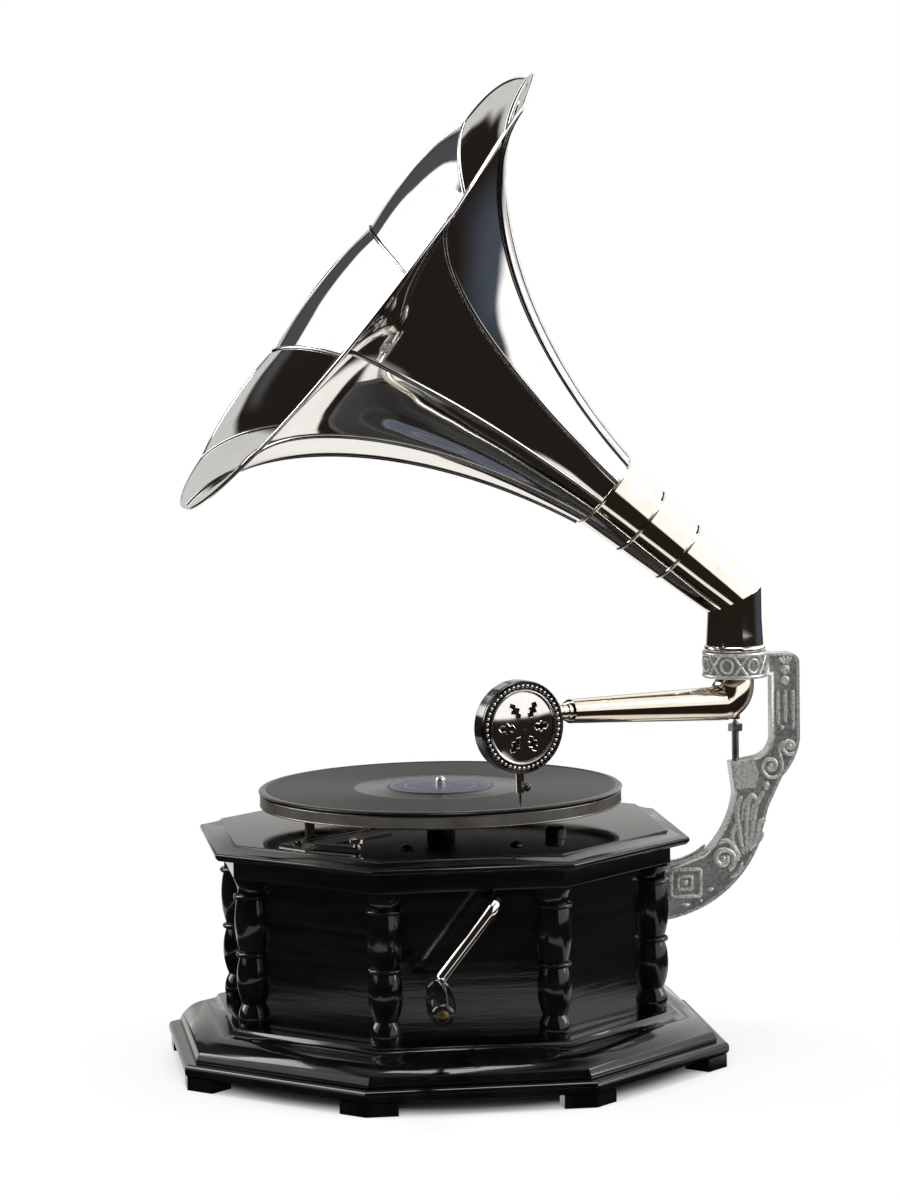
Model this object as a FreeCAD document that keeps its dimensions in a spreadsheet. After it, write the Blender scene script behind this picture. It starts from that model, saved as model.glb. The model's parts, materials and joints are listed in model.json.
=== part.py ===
import FreeCAD, Part
import math
import os
import types
import Sketcher
from FreeCAD import Placement, Rotation, Vector

# Horn gramophone on an octagonal cabinet. Millimetres, +Z up, origin on the floor at the centre of
# the base, the crank on the -Y side and the horn bracket on the +X side.

doc = FreeCAD.newDocument("horn_gramophone")

SIZES = {
    "foot_height": 9.0,
    "foot_leg": 22.0,
    "foot_depth": 20.0,
    "foot_inset": 1.5,
    "slab_apothem": 188.0,
    "slab_thickness": 8.5,
    "slab_edge_radius": 3.4,
    "plinth_apothem": 180.0,
    "plinth_height": 21.0,
    "plinth_lip": 2.5,
    "plinth_shoulder_apothem": 162.5,
    "plinth_shoulder_height": 16.0,
    "plinth_quirk": 1.5,
    "plinth_bulge_out": 1.6,
    "plinth_bulge_up": 2.1,
    "plinth_hollow": 0.9,
    "ledge_apothem": 153.5,
    "panel_apothem": 138.0,
    "panel_thickness": 9.0,
    "panel_height": 137.0,
    "frieze_apothem": 151.0,
    "frieze_height": 13.0,
    "board_thickness": 10.0,
    "board_flat_apothem": 149.4,
    "board_step": 1.0,
    "lip_apothem": 163.6,
    "lip_height": 5.6,
    "lip_nose": 1.8,
    "lip_chamfer": 2.4,
    "column_bun_height": 15.5,
    "column_bun_radius": 11.0,
    "column_neck_radius": 8.0,
    "column_lower_vase_height": 33.0,
    "column_lower_vase_radius": 11.4,
    "column_waist_radius": 9.1,
    "column_upper_vase_height": 37.0,
    "column_upper_vase_radius": 12.4,
    "column_bead_radius": 13.0,
    "column_bead_height": 3.0,
    "column_cap_radius": 12.2,
    "screw_clearance": 0.1,
    "running_clearance": 0.05,
    "seat_gap": 0.3,
    "plate_thickness": 4.0,
    "plate_left": 62.0,
    "plate_right": 63.0,
    "plate_front": 113.0,
    "plate_back": 36.0,
    "motor_depth": 84.5,
    "pillar_radius": 5.0,
    "motor_bolt_radius": 2.5,
    "motor_bolt_head_radius": 4.8,
    "motor_bolt_head_height": 3.0,
    "lug_thickness": 7.0,
    "lug_drop": 24.0,
    "crank_x": 13.5,
    "crank_drop": 18.0,
    "crank_rod_radius": 4.0,
    "crank_hole_clearance": 0.8,
    "crank_stand_off": 35.0,
    "crank_bend_radius": 8.0,
    "crank_arm_length": 66.0,
    "crank_arm_angle": 52.0,
    "handle_splay_angle": 7.0,
    "handle_pin_radius": 2.6,
    "handle_length": 62.0,
    "handle_radius": 9.6,
    "handle_end_radius": 7.6,
    "rivet_radius": 4.0,
    "rivet_height": 1.4,
    "winding_shaft_radius": 3.5,
    "winding_socket_radius": 6.5,
    "winding_socket_length": 12.0,
    "winding_module": 1.0,
    "winding_pinion_width": 7.0,
    "crown_rim_width": 3.4,
    "barrel_offset": 58.0,
    "barrel_radius": 40.0,
    "barrel_wall": 2.0,
    "barrel_height": 30.0,
    "barrel_lift": 18.0,
    "great_module": 1.2,
    "great_wheel_width": 4.0,
    "train_module": 1.0,
    "train_wheel_width": 3.5,
    "train_lift": 8.0,
    "arbor_radius": 5.0,
    "mainspring_thickness": 0.9,
    "mainspring_pitch": 2.8,
    "mainspring_start_radius": 9.0,
    "ratchet_radius": 16.0,
    "ratchet_tooth": 2.0,
    "ratchet_width": 3.0,
    "click_width": 5.0,
    "click_post_radius": 2.5,
    "governor_module": 0.8,
    "governor_drop": 24.5,
    "governor_shaft_radius": 1.5,
    "governor_inner_lug_x": 33.0,
    "governor_outer_lug_x": 100.0,
    "governor_collar_x": 45.0,
    "governor_disc_x": 84.0,
    "governor_disc_radius": 15.0,
    "governor_disc_thickness": 3.0,
    "governor_weight_radius": 4.6,
    "governor_spring_radius": 7.0,
    "governor_spring_width": 4.0,
    "governor_spring_thickness": 0.5,
    "contrate_rim_width": 4.0,
    "regulator_x": 68.0,
    "regulator_y": 82.0,
    "regulator_knob_radius": 7.0,
    "regulator_knob_height": 8.5,
    "regulator_shaft_radius": 2.5,
    "regulator_arm_width": 6.0,
    "regulator_arm_thickness": 2.0,
    "felt_pad_radius": 3.0,
    "felt_pad_thickness": 4.0,
    "record_radius": 127.0,
    "record_thickness": 2.0,
    "label_radius": 37.5,
    "label_thickness": 0.3,
    "platter_radius": 126.0,
    "platter_gap": 15.5,
    "platter_height": 8.5,
    "platter_thickness": 2.5,
    "platter_rim_wall": 3.0,
    "platter_hub_radius": 11.0,
    "hub_gap": 3.5,
    "felt_thickness": 1.0,
    "spindle_journal_radius": 4.0,
    "spindle_radius": 3.6,
    "spindle_tip_height": 7.0,
    "brake_x": 107.0,
    "brake_y": 81.0,
    "brake_base_length": 26.0,
    "brake_base_width": 15.0,
    "brake_base_thickness": 2.0,
    "brake_post_radius": 3.0,
    "brake_screw_radius": 1.5,
    "brake_lever_thickness": 1.6,
    "brake_lever_width": 7.0,
    "brake_knob_reach": 46.4,
    "brake_knob_angle": -40.3,
    "brake_knob_radius": 5.0,
    "brake_knob_height": 6.5,
    "brake_pad_reach": 18.6,
    "brake_pad_angle": 62.7,
    "brake_pad_radius": 3.4,
    "brake_rod_reach": 87.0,
    "brake_rod_angle": 40.8,
    "brake_rod_radius": 1.1,
    "bracket_reach": 210.0,
    "bracket_thickness": 14.0,
    "bracket_arm_width": 20.0,
    "bracket_root_bottom": 90.0,
    "bracket_root_height": 36.0,
    "flange_thickness": 6.0,
    "flange_half_width": 19.0,
    "flange_overhang": 6.0,
    "bracket_bolt_radius": 3.0,
    "bracket_bolt_edge": 6.0,
    "bracket_bolt_head_radius": 5.0,
    "bracket_bolt_head_height": 3.4,
    "bracket_nut_thickness": 5.0,
    "shelf_drop": 39.3,
    "shelf_depth": 20.0,
    "neck_straight": 1.2,
    "ring_height": 18.0,
    "ring_radius": 23.0,
    "spigot_radius": 17.8,
    "spigot_depth": 15.0,
    "horn_wall": 1.0,
    "pivot_screw_radius": 2.5,
    "pivot_nut_flats": 9.0,
    "pivot_nut_height": 5.0,
    "pivot_screw_depth": 11.0,
    "pivot_hole_spare": 1.0,
    "tonearm_axis_lift": 52.3,
    "tonearm_rise": 0.047,
    "tonearm_bend_radius": 17.0,
    "tonearm_neck_radius": 13.2,
    "tonearm_elbow_radius": 11.0,
    "tonearm_end_radius": 6.6,
    "tonearm_wall": 1.0,
    "tonearm_length": 148.0,
    "tonearm_reach": 206.2,
    "tonearm_rest_angle": 33.8,
    "sleeve_height": 10.0,
    "head_offset": 18.0,
    "head_angle": 7.0,
    "head_lift": 2.7,
    "crook_bend_radius": 7.5,
    "crook_plug_length": 14.0,
    "sound_box_radius": 31.3,
    "sound_box_back": 7.0,
    "sound_box_depth": 11.0,
    "sound_box_wall": 2.3,
    "sound_box_back_wall": 2.5,
    "bezel_height": 2.6,
    "cover_radius": 23.4,
    "cover_thickness": 0.8,
    "cover_rise": 2.6,
    "leaf_length": 9.5,
    "leaf_width": 4.6,
    "leaf_distance": 11.5,
    "diaphragm_thickness": 0.5,
    "gasket_radius": 1.0,
    "chuck_radius": 3.2,
    "chuck_length": 13.0,
    "needle_radius": 0.8,
    "needle_gap": 0.3,
    "thumb_screw_radius": 1.2,
    "thumb_ball_radius": 3.0,
    "elbow_height": 37.0,
    "horn_bend_angle": 49.6,
    "elbow_radius": 20.2,
    "elbow_top_radius": 19.0,
    "elbow_bead_radius": 21.6,
    "elbow_bead_height": 4.0,
    "throat_step": 1.2,
    "throat_lower_end": 53.7,
    "throat_middle_end": 88.0,
    "throat_upper_end": 121.8,
    "throat_lower_radius": 22.8,
    "throat_middle_radius": 25.2,
    "throat_upper_radius": 27.6,
    "bell_length": 218.0,
    "bell_cone_rise": 44.0,
    "rim_radius": 192.0,
    "rim_bead_radius": 1.3,
    "petal_wall": 0.8,
    "seam_height": 2.0,
    "seam_width": 1.6,
}

EIGHTH = math.radians(22.5)
TAN_EIGHTH = math.tan(EIGHTH)
COS_EIGHTH = math.cos(EIGHTH)
PETALS = 10


class Size(float):
    """A length that remembers the sheet formula it was worked out from."""

    def __new__(cls, number, formula):
        made = float.__new__(cls, number)
        made.formula = formula
        return made

    def __add__(self, other):
        return Size(float(self) + float(other), "(%s + %s)" % (self.formula, formula_of(other)))

    def __radd__(self, other):
        return Size(float(other) + float(self), "(%s + %s)" % (formula_of(other), self.formula))

    def __sub__(self, other):
        return Size(float(self) - float(other), "(%s - %s)" % (self.formula, formula_of(other)))

    def __rsub__(self, other):
        return Size(float(other) - float(self), "(%s - %s)" % (formula_of(other), self.formula))

    def __mul__(self, other):
        return Size(float(self) * float(other), "(%s * %s)" % (self.formula, formula_of(other)))

    def __rmul__(self, other):
        return Size(float(other) * float(self), "(%s * %s)" % (formula_of(other), self.formula))

    def __truediv__(self, other):
        return Size(float(self) / float(other), "(%s / %s)" % (self.formula, formula_of(other)))

    def __neg__(self):
        return Size(-float(self), "(0 - %s)" % self.formula)


def formula_of(number):
    return number.formula if isinstance(number, Size) else "%.9f" % number


sheet = doc.addObject("Spreadsheet::Sheet", "sizes")
for row, (alias, number) in enumerate(SIZES.items(), start=1):
    cell = "A%d" % row
    sheet.set(cell, str(number))
    sheet.setAlias(cell, alias)
doc.recompute()
S = types.SimpleNamespace(**{alias: Size(number, "sizes." + alias) for alias, number in SIZES.items()})

X_AXIS = Vector(1, 0, 0)
Y_AXIS = Vector(0, 1, 0)
Z_AXIS = Vector(0, 0, 1)
ALONG_X = Rotation(Y_AXIS, 90)
ALONG_Y = Rotation(X_AXIS, -90)
UPRIGHT = Rotation()
FRONT = Rotation(Z_AXIS, -90)
ORIGIN = (0, 0, 0)

# Ways of making a piece: bound properties, sketches, turned and padded bodies, primitives, groups.


def bind(thing, name, number):
    if isinstance(number, Size):
        thing.setExpression(name, number.formula)
    elif name.startswith("Placement.Base."):
        base = thing.Placement.Base
        setattr(base, name[-1], number)
        thing.Placement = Placement(base, thing.Placement.Rotation)
    else:
        setattr(thing, name, number)


def place(thing, at, turn=UPRIGHT):
    thing.Placement = Placement(Vector(*[float(number) for number in at]), turn)
    for letter, number in zip("xyz", at):
        if isinstance(number, Size):
            bind(thing, "Placement.Base." + letter, number)
    return thing


def body(label):
    made = doc.addObject("PartDesign::Body", label)
    made.Label = label
    return made


def flat(point):
    return Vector(float(point[0]), float(point[1]), 0)


def pin_point(sketch, edge, end, point):
    """Hold one end of an edge at its place, measured from the sketch origin."""
    for kind, number in zip(("DistanceX", "DistanceY"), point):
        held = sketch.addConstraint(Sketcher.Constraint(kind, -1, 1, edge, end, float(number)))
        if isinstance(number, Size):
            sketch.setExpression("Constraints[%d]" % held, number.formula)


def draw(sketch, path):
    """Closed outline: a corner is (x, y), a round stretch is ((x, y) on the way, (x, y) at its end)."""
    here = path[0]
    first = None
    last = None
    end = path[-1][1] if isinstance(path[-1][0], tuple) else path[-1]
    is_closed = (flat(end) - flat(path[0])).Length < 1e-6
    for step in path[1:] if is_closed else path[1:] + [path[0]]:
        if isinstance(step[0], tuple):
            middle, there = step
            edge = sketch.addGeometry(Part.Arc(flat(here), flat(middle), flat(there)), False)
            forward = (sketch.getPoint(edge, 1) - flat(here)).Length < 1e-6
            ends = (1, 2) if forward else (2, 1)
            mark = sketch.addGeometry(Part.Point(flat(middle)), True)
            pin_point(sketch, mark, 1, middle)
            sketch.addConstraint(Sketcher.Constraint("PointOnObject", mark, 1, edge))
        else:
            there = step
            edge = sketch.addGeometry(Part.LineSegment(flat(here), flat(there)), False)
            ends = (1, 2)
        pin_point(sketch, edge, ends[0], here)
        if last is not None:
            sketch.addConstraint(Sketcher.Constraint("Coincident", last[0], last[1], edge, ends[0]))
        first = first or (edge, ends[0])
        last = (edge, ends[1])
        here = there
    sketch.addConstraint(Sketcher.Constraint("Coincident", last[0], last[1], first[0], first[1]))


def draw_circle(sketch, centre, radius):
    edge = sketch.addGeometry(Part.Circle(flat(centre), Z_AXIS, float(radius)), False)
    pin_point(sketch, edge, 3, centre)
    held = sketch.addConstraint(Sketcher.Constraint("Radius", edge, float(radius)))
    if isinstance(radius, Size):
        sketch.setExpression("Constraints[%d]" % held, radius.formula)


def new_sketch(owner, role, level=0):
    sketch = owner.newObject("Sketcher::SketchObject", owner.Name + "_outline")
    support = next(feature for feature in owner.Origin.OriginFeatures if feature.Role == role)
    sketch.AttachmentSupport = [(support, "")]
    sketch.MapMode = "FlatFace"
    if isinstance(level, Size):
        sketch.setExpression("AttachmentOffset.Base.z", level.formula)
    return sketch


def pad(owner, sketch, length, midplane=False, reverse=False):
    made = owner.newObject("PartDesign::Pad", owner.Name + "_pad")
    made.Profile = sketch
    bind(made, "Length", length)
    made.Midplane = midplane
    made.Reversed = reverse
    sketch.Visibility = False
    return made


def pocket(owner, sketch, length):
    """A cut to both sides of its sketch."""
    made = owner.newObject("PartDesign::Pocket", owner.Name + "_cut")
    made.Profile = sketch
    bind(made, "Length", length)
    made.Midplane = True
    sketch.Visibility = False
    return made


def turned(label, path, at=ORIGIN, turn=UPRIGHT):
    """A piece turned about its own upright axis from half of its section."""
    made = body(label)
    sketch = new_sketch(made, "XZ_Plane")
    draw(sketch, path)
    spin = made.newObject("PartDesign::Revolution", label + "_turned")
    spin.Profile = sketch
    spin.ReferenceAxis = (sketch, ["V_Axis"])
    spin.Angle = 360
    return place(made, at, turn)


def padded(label, path, height, at=ORIGIN, turn=UPRIGHT):
    """A piece of even height on a plan."""
    made = body(label)
    sketch = new_sketch(made, "XY_Plane")
    draw(sketch, path)
    pad(made, sketch, height)
    return place(made, at, turn)


def bored(owner, role, circles, length):
    """Round holes through a body, square to one of its planes."""
    sketch = new_sketch(owner, role)
    for centre, radius in circles:
        draw_circle(sketch, centre, radius)
    return pocket(owner, sketch, length)


def cylinder(label, radius, height, at, turn=UPRIGHT):
    made = doc.addObject("Part::Cylinder", label)
    bind(made, "Radius", radius)
    bind(made, "Height", height)
    return place(made, at, turn)


def box(label, low, high):
    made = doc.addObject("Part::Box", label)
    for name, start, stop in zip(("Length", "Width", "Height"), low, high):
        bind(made, name, stop - start)
    return place(made, low)


def fused(label, pieces):
    made = doc.addObject("Part::MultiFuse", label)
    made.Shapes = pieces
    return made


def cut(label, base, tools):
    made = doc.addObject("Part::Cut", label)
    made.Base = base
    made.Tool = tools[0] if len(tools) == 1 else fused(label + "_tools", tools)
    return made


def shaped(label, shape, at=None):
    """A piece whose shape is made with the geometry functions themselves."""
    made = doc.addObject("Part::Feature", label)
    made.Label = label
    made.Shape = shape
    if at is not None:
        made.Placement = at
    return made


def copies(label, source, places):
    """One node of separate solids: the source piece at each of the places."""
    doc.recompute()
    return shaped(label, Part.makeCompound([at_place(source.Shape, spot) for spot in places]))


def at_place(shape, spot):
    moved = shape.copy()
    moved.Placement = spot.multiply(moved.Placement)
    return moved


def around(count, step):
    return [Placement(Vector(), Rotation(Z_AXIS, step * number)) for number in range(count)]


nodes = {}


def keep(label, piece):
    piece.Label = label
    nodes[label] = piece
    return piece


def polar(distance, degrees):
    angle = math.radians(degrees)
    return distance * math.cos(angle), distance * math.sin(angle)


def octagon(apothem):
    return [polar(apothem / COS_EIGHTH, 22.5 + 45 * corner) for corner in range(8)]


def dome(radius, level, height):
    """Round stretch of a section that closes a turned piece with part of a ball."""
    ball = (float(radius) ** 2 + float(height) ** 2) / (2 * float(height))
    half = math.atan2(float(radius), ball - float(height)) / 2
    share = ball * math.sin(half) / float(radius)
    drop = ball * (1 - math.cos(half)) / float(height)
    return (radius * share, level + height * (1 - drop)), (0, level + height)


def side_plan(inner, outer):
    """Plan of one mitred length on the +X side."""
    return [(inner, -inner * TAN_EIGHTH), (outer, -outer * TAN_EIGHTH),
            (outer, outer * TAN_EIGHTH), (inner, inner * TAN_EIGHTH)]


# Levels, from the floor up: cabinet, turntable, motor, then the arm, bracket and horn.

slab_top = S.foot_height + S.slab_thickness
plinth_top = slab_top + S.plinth_height
board_bottom = slab_top + S.panel_height
board_top = board_bottom + S.board_thickness
frieze_bottom = board_bottom - S.frieze_height
platter_bottom = board_top + S.platter_gap
platter_top = platter_bottom + S.platter_height
record_bottom = platter_top + S.felt_thickness
record_top = record_bottom + S.record_thickness
plate_bottom = board_bottom - S.plate_thickness
lower_plate_top = plate_bottom - S.motor_depth
crank_level = board_bottom - S.crank_drop
governor_level = board_bottom - S.governor_drop
tonearm_level = record_top + S.tonearm_axis_lift
shelf_top = tonearm_level - S.shelf_drop
head_level = tonearm_level + S.head_lift
ring_bottom = tonearm_level + S.tonearm_bend_radius + S.neck_straight
ring_top = ring_bottom + S.ring_height
spigot_bottom = ring_top - S.spigot_depth
mitre_level = ring_top + S.elbow_height


def cabinet():
    """Feet, moulded base, panels, turned columns, frieze and the moulded top board."""
    edge = S.slab_apothem - S.foot_inset
    half = edge * TAN_EIGHTH
    slant = math.sqrt(0.5)
    second_x = edge - S.foot_leg * slant
    second_y = half + S.foot_leg * slant
    foot = padded("foot_block", [
        (edge, half), (edge, half - S.foot_leg), (edge - S.foot_depth, half - S.foot_leg),
        (second_x - S.foot_depth * slant, second_y - S.foot_depth * slant), (second_x, second_y),
    ], S.foot_height)
    keep("feet", copies("feet", foot, around(8, 45)))

    slab = padded("bottom_board", octagon(S.slab_apothem), S.slab_thickness, (0, 0, S.foot_height))
    doc.recompute()
    block = slab.Tip
    rims = [number for number, edge in enumerate(block.Shape.Edges, start=1)
            if abs(edge.Vertexes[0].Z - edge.Vertexes[1].Z) < 1e-6]
    rounded = slab.newObject("PartDesign::Fillet", "bottom_board_edge")
    rounded.Base = (block, ["Edge%d" % number for number in rims])
    bind(rounded, "Radius", S.slab_edge_radius)
    slab.Tip = rounded
    keep("bottom_board", slab)

    length = padded("plinth_length", side_plan(S.panel_apothem, S.plinth_apothem), S.plinth_height,
                    (0, 0, slab_top))
    profile = new_sketch(length, "XZ_Plane")
    step = S.plinth_shoulder_apothem - S.plinth_quirk
    draw(profile, [
        (S.plinth_apothem, S.plinth_lip),
        (((S.plinth_apothem + S.plinth_shoulder_apothem) / 2 + S.plinth_bulge_out,
          (S.plinth_lip + S.plinth_shoulder_height) / 2 + S.plinth_bulge_up),
         (S.plinth_shoulder_apothem, S.plinth_shoulder_height)),
        (step, S.plinth_shoulder_height),
        (((step + S.ledge_apothem) / 2 - S.plinth_hollow,
          (S.plinth_shoulder_height + S.plinth_height) / 2 - S.plinth_hollow),
         (S.ledge_apothem, S.plinth_height)),
        (S.ledge_apothem, S.plinth_height + S.plinth_lip),
        (S.plinth_apothem + S.plinth_lip, S.plinth_height + S.plinth_lip),
        (S.plinth_apothem + S.plinth_lip, S.plinth_lip),
    ])
    pocket(length, profile, S.plinth_apothem * 2)
    keep("plinth_moulding", copies("plinth_moulding", length, around(8, 45)))

    inside = S.panel_apothem - S.panel_thickness
    through = S.panel_apothem * 3
    plan = side_plan(inside, S.panel_apothem)
    front = padded("front_panel", plan, S.panel_height, (0, 0, slab_top), FRONT)
    bored(front, "YZ_Plane", [((S.crank_x, crank_level - slab_top),
                               S.crank_rod_radius + S.crank_hole_clearance)], through)
    keep("front_panel", front)
    carrier = padded("bracket_panel", plan, S.panel_height, (0, 0, slab_top))
    bored(carrier, "YZ_Plane", [((y, z - slab_top), S.bracket_bolt_radius + S.screw_clearance)
                                for y, z in bracket_bolt_spots()], through)
    keep("bracket_panel", carrier)
    plain = padded("side_panel", plan, S.panel_height, (0, 0, slab_top))
    spots = [spot for number, spot in enumerate(around(8, 45)) if number not in (0, 6)]
    keep("side_panels", copies("side_panels", plain, spots))

    keep("corner_columns", columns())

    rail = padded("frieze_length", side_plan(S.panel_apothem, S.frieze_apothem), S.frieze_height,
                  (0, 0, frieze_bottom))
    keep("frieze", copies("frieze", rail, around(8, 45)))

    board = padded("top_board", octagon(S.lip_apothem), S.board_thickness, (0, 0, board_bottom))
    moulding = new_sketch(board, "XZ_Plane")
    clear = S.lip_apothem + S.lip_height
    draw(moulding, [
        (S.board_flat_apothem, S.board_thickness),
        (S.board_flat_apothem, S.board_thickness - S.board_step),
        (((S.board_flat_apothem + S.lip_apothem) / 2 - 0.6,
          (S.board_thickness - S.board_step + S.lip_height) / 2 - 0.5),
         (S.lip_apothem - S.lip_nose, S.lip_height)),
        ((S.lip_apothem - S.lip_nose * 0.29, S.lip_height - S.lip_nose * 0.29),
         (S.lip_apothem, S.lip_height - S.lip_nose)),
        (clear, S.lip_height - S.lip_nose),
        (clear, S.board_thickness + S.board_step),
        (S.board_flat_apothem, S.board_thickness + S.board_step),
    ])
    draw(moulding, [
        (S.lip_apothem, S.lip_chamfer),
        (S.lip_apothem - S.lip_chamfer, 0),
        (S.lip_apothem - S.lip_chamfer, -S.lip_chamfer),
        (clear, -S.lip_chamfer),
        (clear, S.lip_chamfer),
    ])
    edging = pocket(board, moulding, S.lip_apothem * 2)
    sides = board.newObject("PartDesign::PolarPattern", "top_board_sides")
    sides.Originals = [edging]
    sides.Axis = (moulding, ["V_Axis"])
    sides.Angle = 360
    sides.Occurrences = 8
    board.Tip = sides
    holes = [((0, 0), S.platter_hub_radius)]
    holes += [(spot, S.motor_bolt_radius + S.screw_clearance) for spot in motor_bolt_spots()]
    holes += [((S.regulator_x, -S.regulator_y), S.regulator_shaft_radius + S.running_clearance)]
    holes += [(spot, S.brake_screw_radius + S.screw_clearance) for spot in brake_screw_spots()]
    bored(board, "XY_Plane", holes, S.board_thickness * 3)
    keep("top_board", board)


def columns():
    """Eight turned half columns, each notched to sit over a corner of the panels."""
    lower = S.column_bun_height + S.column_lower_vase_height
    waist = lower + S.column_bead_height
    upper = waist + S.column_upper_vase_height
    collar = upper + S.column_bead_height
    top = frieze_bottom - plinth_top
    bulge = S.column_bead_radius
    turned_one = turned("column", [
        (0, 0),
        (S.column_bun_radius - 0.8, 0),
        ((S.column_bun_radius, S.column_bun_height * 0.45), (S.column_neck_radius, S.column_bun_height)),
        ((S.column_lower_vase_radius, S.column_bun_height + S.column_lower_vase_height * 0.38),
         (S.column_waist_radius, lower)),
        ((bulge - 1.2, lower + S.column_bead_height / 2), (S.column_waist_radius, waist)),
        ((S.column_upper_vase_radius, waist + S.column_upper_vase_height * 0.5),
         (S.column_waist_radius + 1.4, upper)),
        ((bulge, upper + S.column_bead_height / 2), (S.column_waist_radius + 1.0, collar)),
        ((S.column_waist_radius + 1.4, (collar + top) / 2), (S.column_cap_radius, top - 2)),
        (S.column_cap_radius, top),
        (0, top),
    ])
    reach = bulge * 2
    inward, aside = math.sin(EIGHTH), COS_EIGHTH
    notch = new_sketch(turned_one, "XY_Plane")
    draw(notch, [(0, 0), (-reach * inward, reach * aside), (-reach, reach * aside),
                 (-reach, -reach * aside), (-reach * inward, -reach * aside)])
    pocket(turned_one, notch, top * 3)
    corner = S.panel_apothem / COS_EIGHTH
    spots = [Placement(Vector(*polar(corner, 22.5 + 45 * number), plinth_top),
                       Rotation(Z_AXIS, 22.5 + 45 * number)) for number in range(8)]
    return copies("corner_columns", turned_one, spots)


def motor_bolt_spots():
    side = S.plate_left * 0.6
    return [(side, S.plate_back - 8), (-side, S.plate_back - 8),
            (side, -S.plate_front + 7), (-side, -S.plate_front + 7)]


def bracket_bolt_spots():
    aside = S.flange_half_width - S.bracket_bolt_edge
    low = S.bracket_root_bottom - S.flange_overhang + S.bracket_bolt_edge
    high = S.bracket_root_bottom + S.bracket_root_height + S.flange_overhang - S.bracket_bolt_edge
    return [(-aside, low), (aside, low), (-aside, high), (aside, high)]


# Wheel work. A wheel's low teeth run with a pinion's full ones, so neither is undercut.

CROWN_TEETH = 36
WINDING_PINION_TEETH = 12
GREAT_TEETH = 72
INTERMEDIATE_PINION_TEETH = 12
INTERMEDIATE_TEETH = 60
SPINDLE_PINION_TEETH = 12
CONTRATE_TEETH = 60
GOVERNOR_PINION_TEETH = 10
WHEEL_ADDENDUM = 0.55
PINION_ADDENDUM = 0.9
WHEEL_DEDENDUM = 1.15
PINION_DEDENDUM = 0.85
TOOTH_SHARE = 0.40
PRESSURE = math.radians(20)

crown_radius = S.winding_module * (CROWN_TEETH / 2)
winding_pinion_radius = S.winding_module * (WINDING_PINION_TEETH / 2)
great_radius = S.great_module * (GREAT_TEETH / 2)
intermediate_pinion_radius = S.great_module * (INTERMEDIATE_PINION_TEETH / 2)
intermediate_radius = S.train_module * (INTERMEDIATE_TEETH / 2)
spindle_pinion_radius = S.train_module * (SPINDLE_PINION_TEETH / 2)
contrate_radius = S.governor_module * (CONTRATE_TEETH / 2)
governor_pinion_radius = S.governor_module * (GOVERNOR_PINION_TEETH / 2)

barrel_bottom = lower_plate_top + S.barrel_lift
barrel_top = barrel_bottom + S.barrel_height
train_bottom = lower_plate_top + S.train_lift


def intermediate_spot():
    """Where the intermediate arbor meshes with both the great wheel and the spindle pinion."""
    to_spindle = float(intermediate_radius + spindle_pinion_radius)
    to_barrel = float(great_radius + intermediate_pinion_radius)
    apart = math.hypot(S.crank_x, S.barrel_offset)
    opening = math.acos((to_spindle ** 2 + apart ** 2 - to_barrel ** 2) / (2 * to_spindle * apart))
    heading = math.atan2(-S.barrel_offset, S.crank_x) - opening
    return to_spindle * math.cos(heading), to_spindle * math.sin(heading)


def gear_plan(teeth, module, addendum, dedendum, tooth_angle):
    """Closed tooth outline: straight root and tip, flanks through three involute points."""
    pitch = module * teeth / 2
    root = pitch - dedendum * module
    tip = pitch + addendum * module
    base = pitch * math.cos(PRESSURE)
    half = math.pi * TOOTH_SHARE / teeth
    at_pitch = math.tan(PRESSURE) - PRESSURE

    def spread(radius):
        if radius <= base:
            return half + at_pitch
        turn = math.acos(base / radius)
        return half + at_pitch - (math.tan(turn) - turn)

    flank = [root, max(base, root + 0.01), (pitch + tip) / 2, tip]
    points = []
    for tooth in range(teeth):
        centre = tooth_angle + 2 * math.pi * tooth / teeth
        for radius in flank:
            points.append((radius, centre - spread(radius)))
        for radius in reversed(flank):
            points.append((radius, centre + spread(radius)))
    return [Vector(radius * math.cos(turn), radius * math.sin(turn), 0) for radius, turn in points]


def gear(teeth, module, addendum, dedendum, width, bore, tooth_angle=0.0):
    points = gear_plan(teeth, float(module), addendum, dedendum, tooth_angle)
    blank = Part.Face(Part.makePolygon(points + points[:1])).extrude(Vector(0, 0, float(width)))
    if bore:
        blank = blank.cut(Part.makeCylinder(float(bore), float(width)))
    return blank


def crown(teeth, module, rim, web, bore, tooth_angle=0.0):
    """Wheel with upright teeth round its rim; its pitch plane is at height zero."""
    module = float(module)
    mean = module * teeth / 2
    inner, outer = mean - rim / 2, mean + rim / 2
    root, tip = -WHEEL_DEDENDUM * module, WHEEL_ADDENDUM * module
    half = math.pi * module * TOOTH_SHARE / 2
    lean = math.tan(PRESSURE)
    section = [Vector(inner, -half + lean * root, root), Vector(inner, half - lean * root, root),
               Vector(inner, half - lean * tip, tip), Vector(inner, -half + lean * tip, tip)]
    tooth = Part.Face(Part.makePolygon(section + section[:1])).extrude(Vector(rim, 0, 0))
    disc = Part.makeCylinder(outer, web, Vector(0, 0, root - web))
    disc = disc.cut(Part.makeCylinder(float(bore), web, Vector(0, 0, root - web)))
    turns = [tooth_angle + 360.0 * number / teeth for number in range(teeth)]
    return disc.fuse([at_place(tooth, Placement(Vector(), Rotation(Z_AXIS, turn))) for turn in turns])


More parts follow.
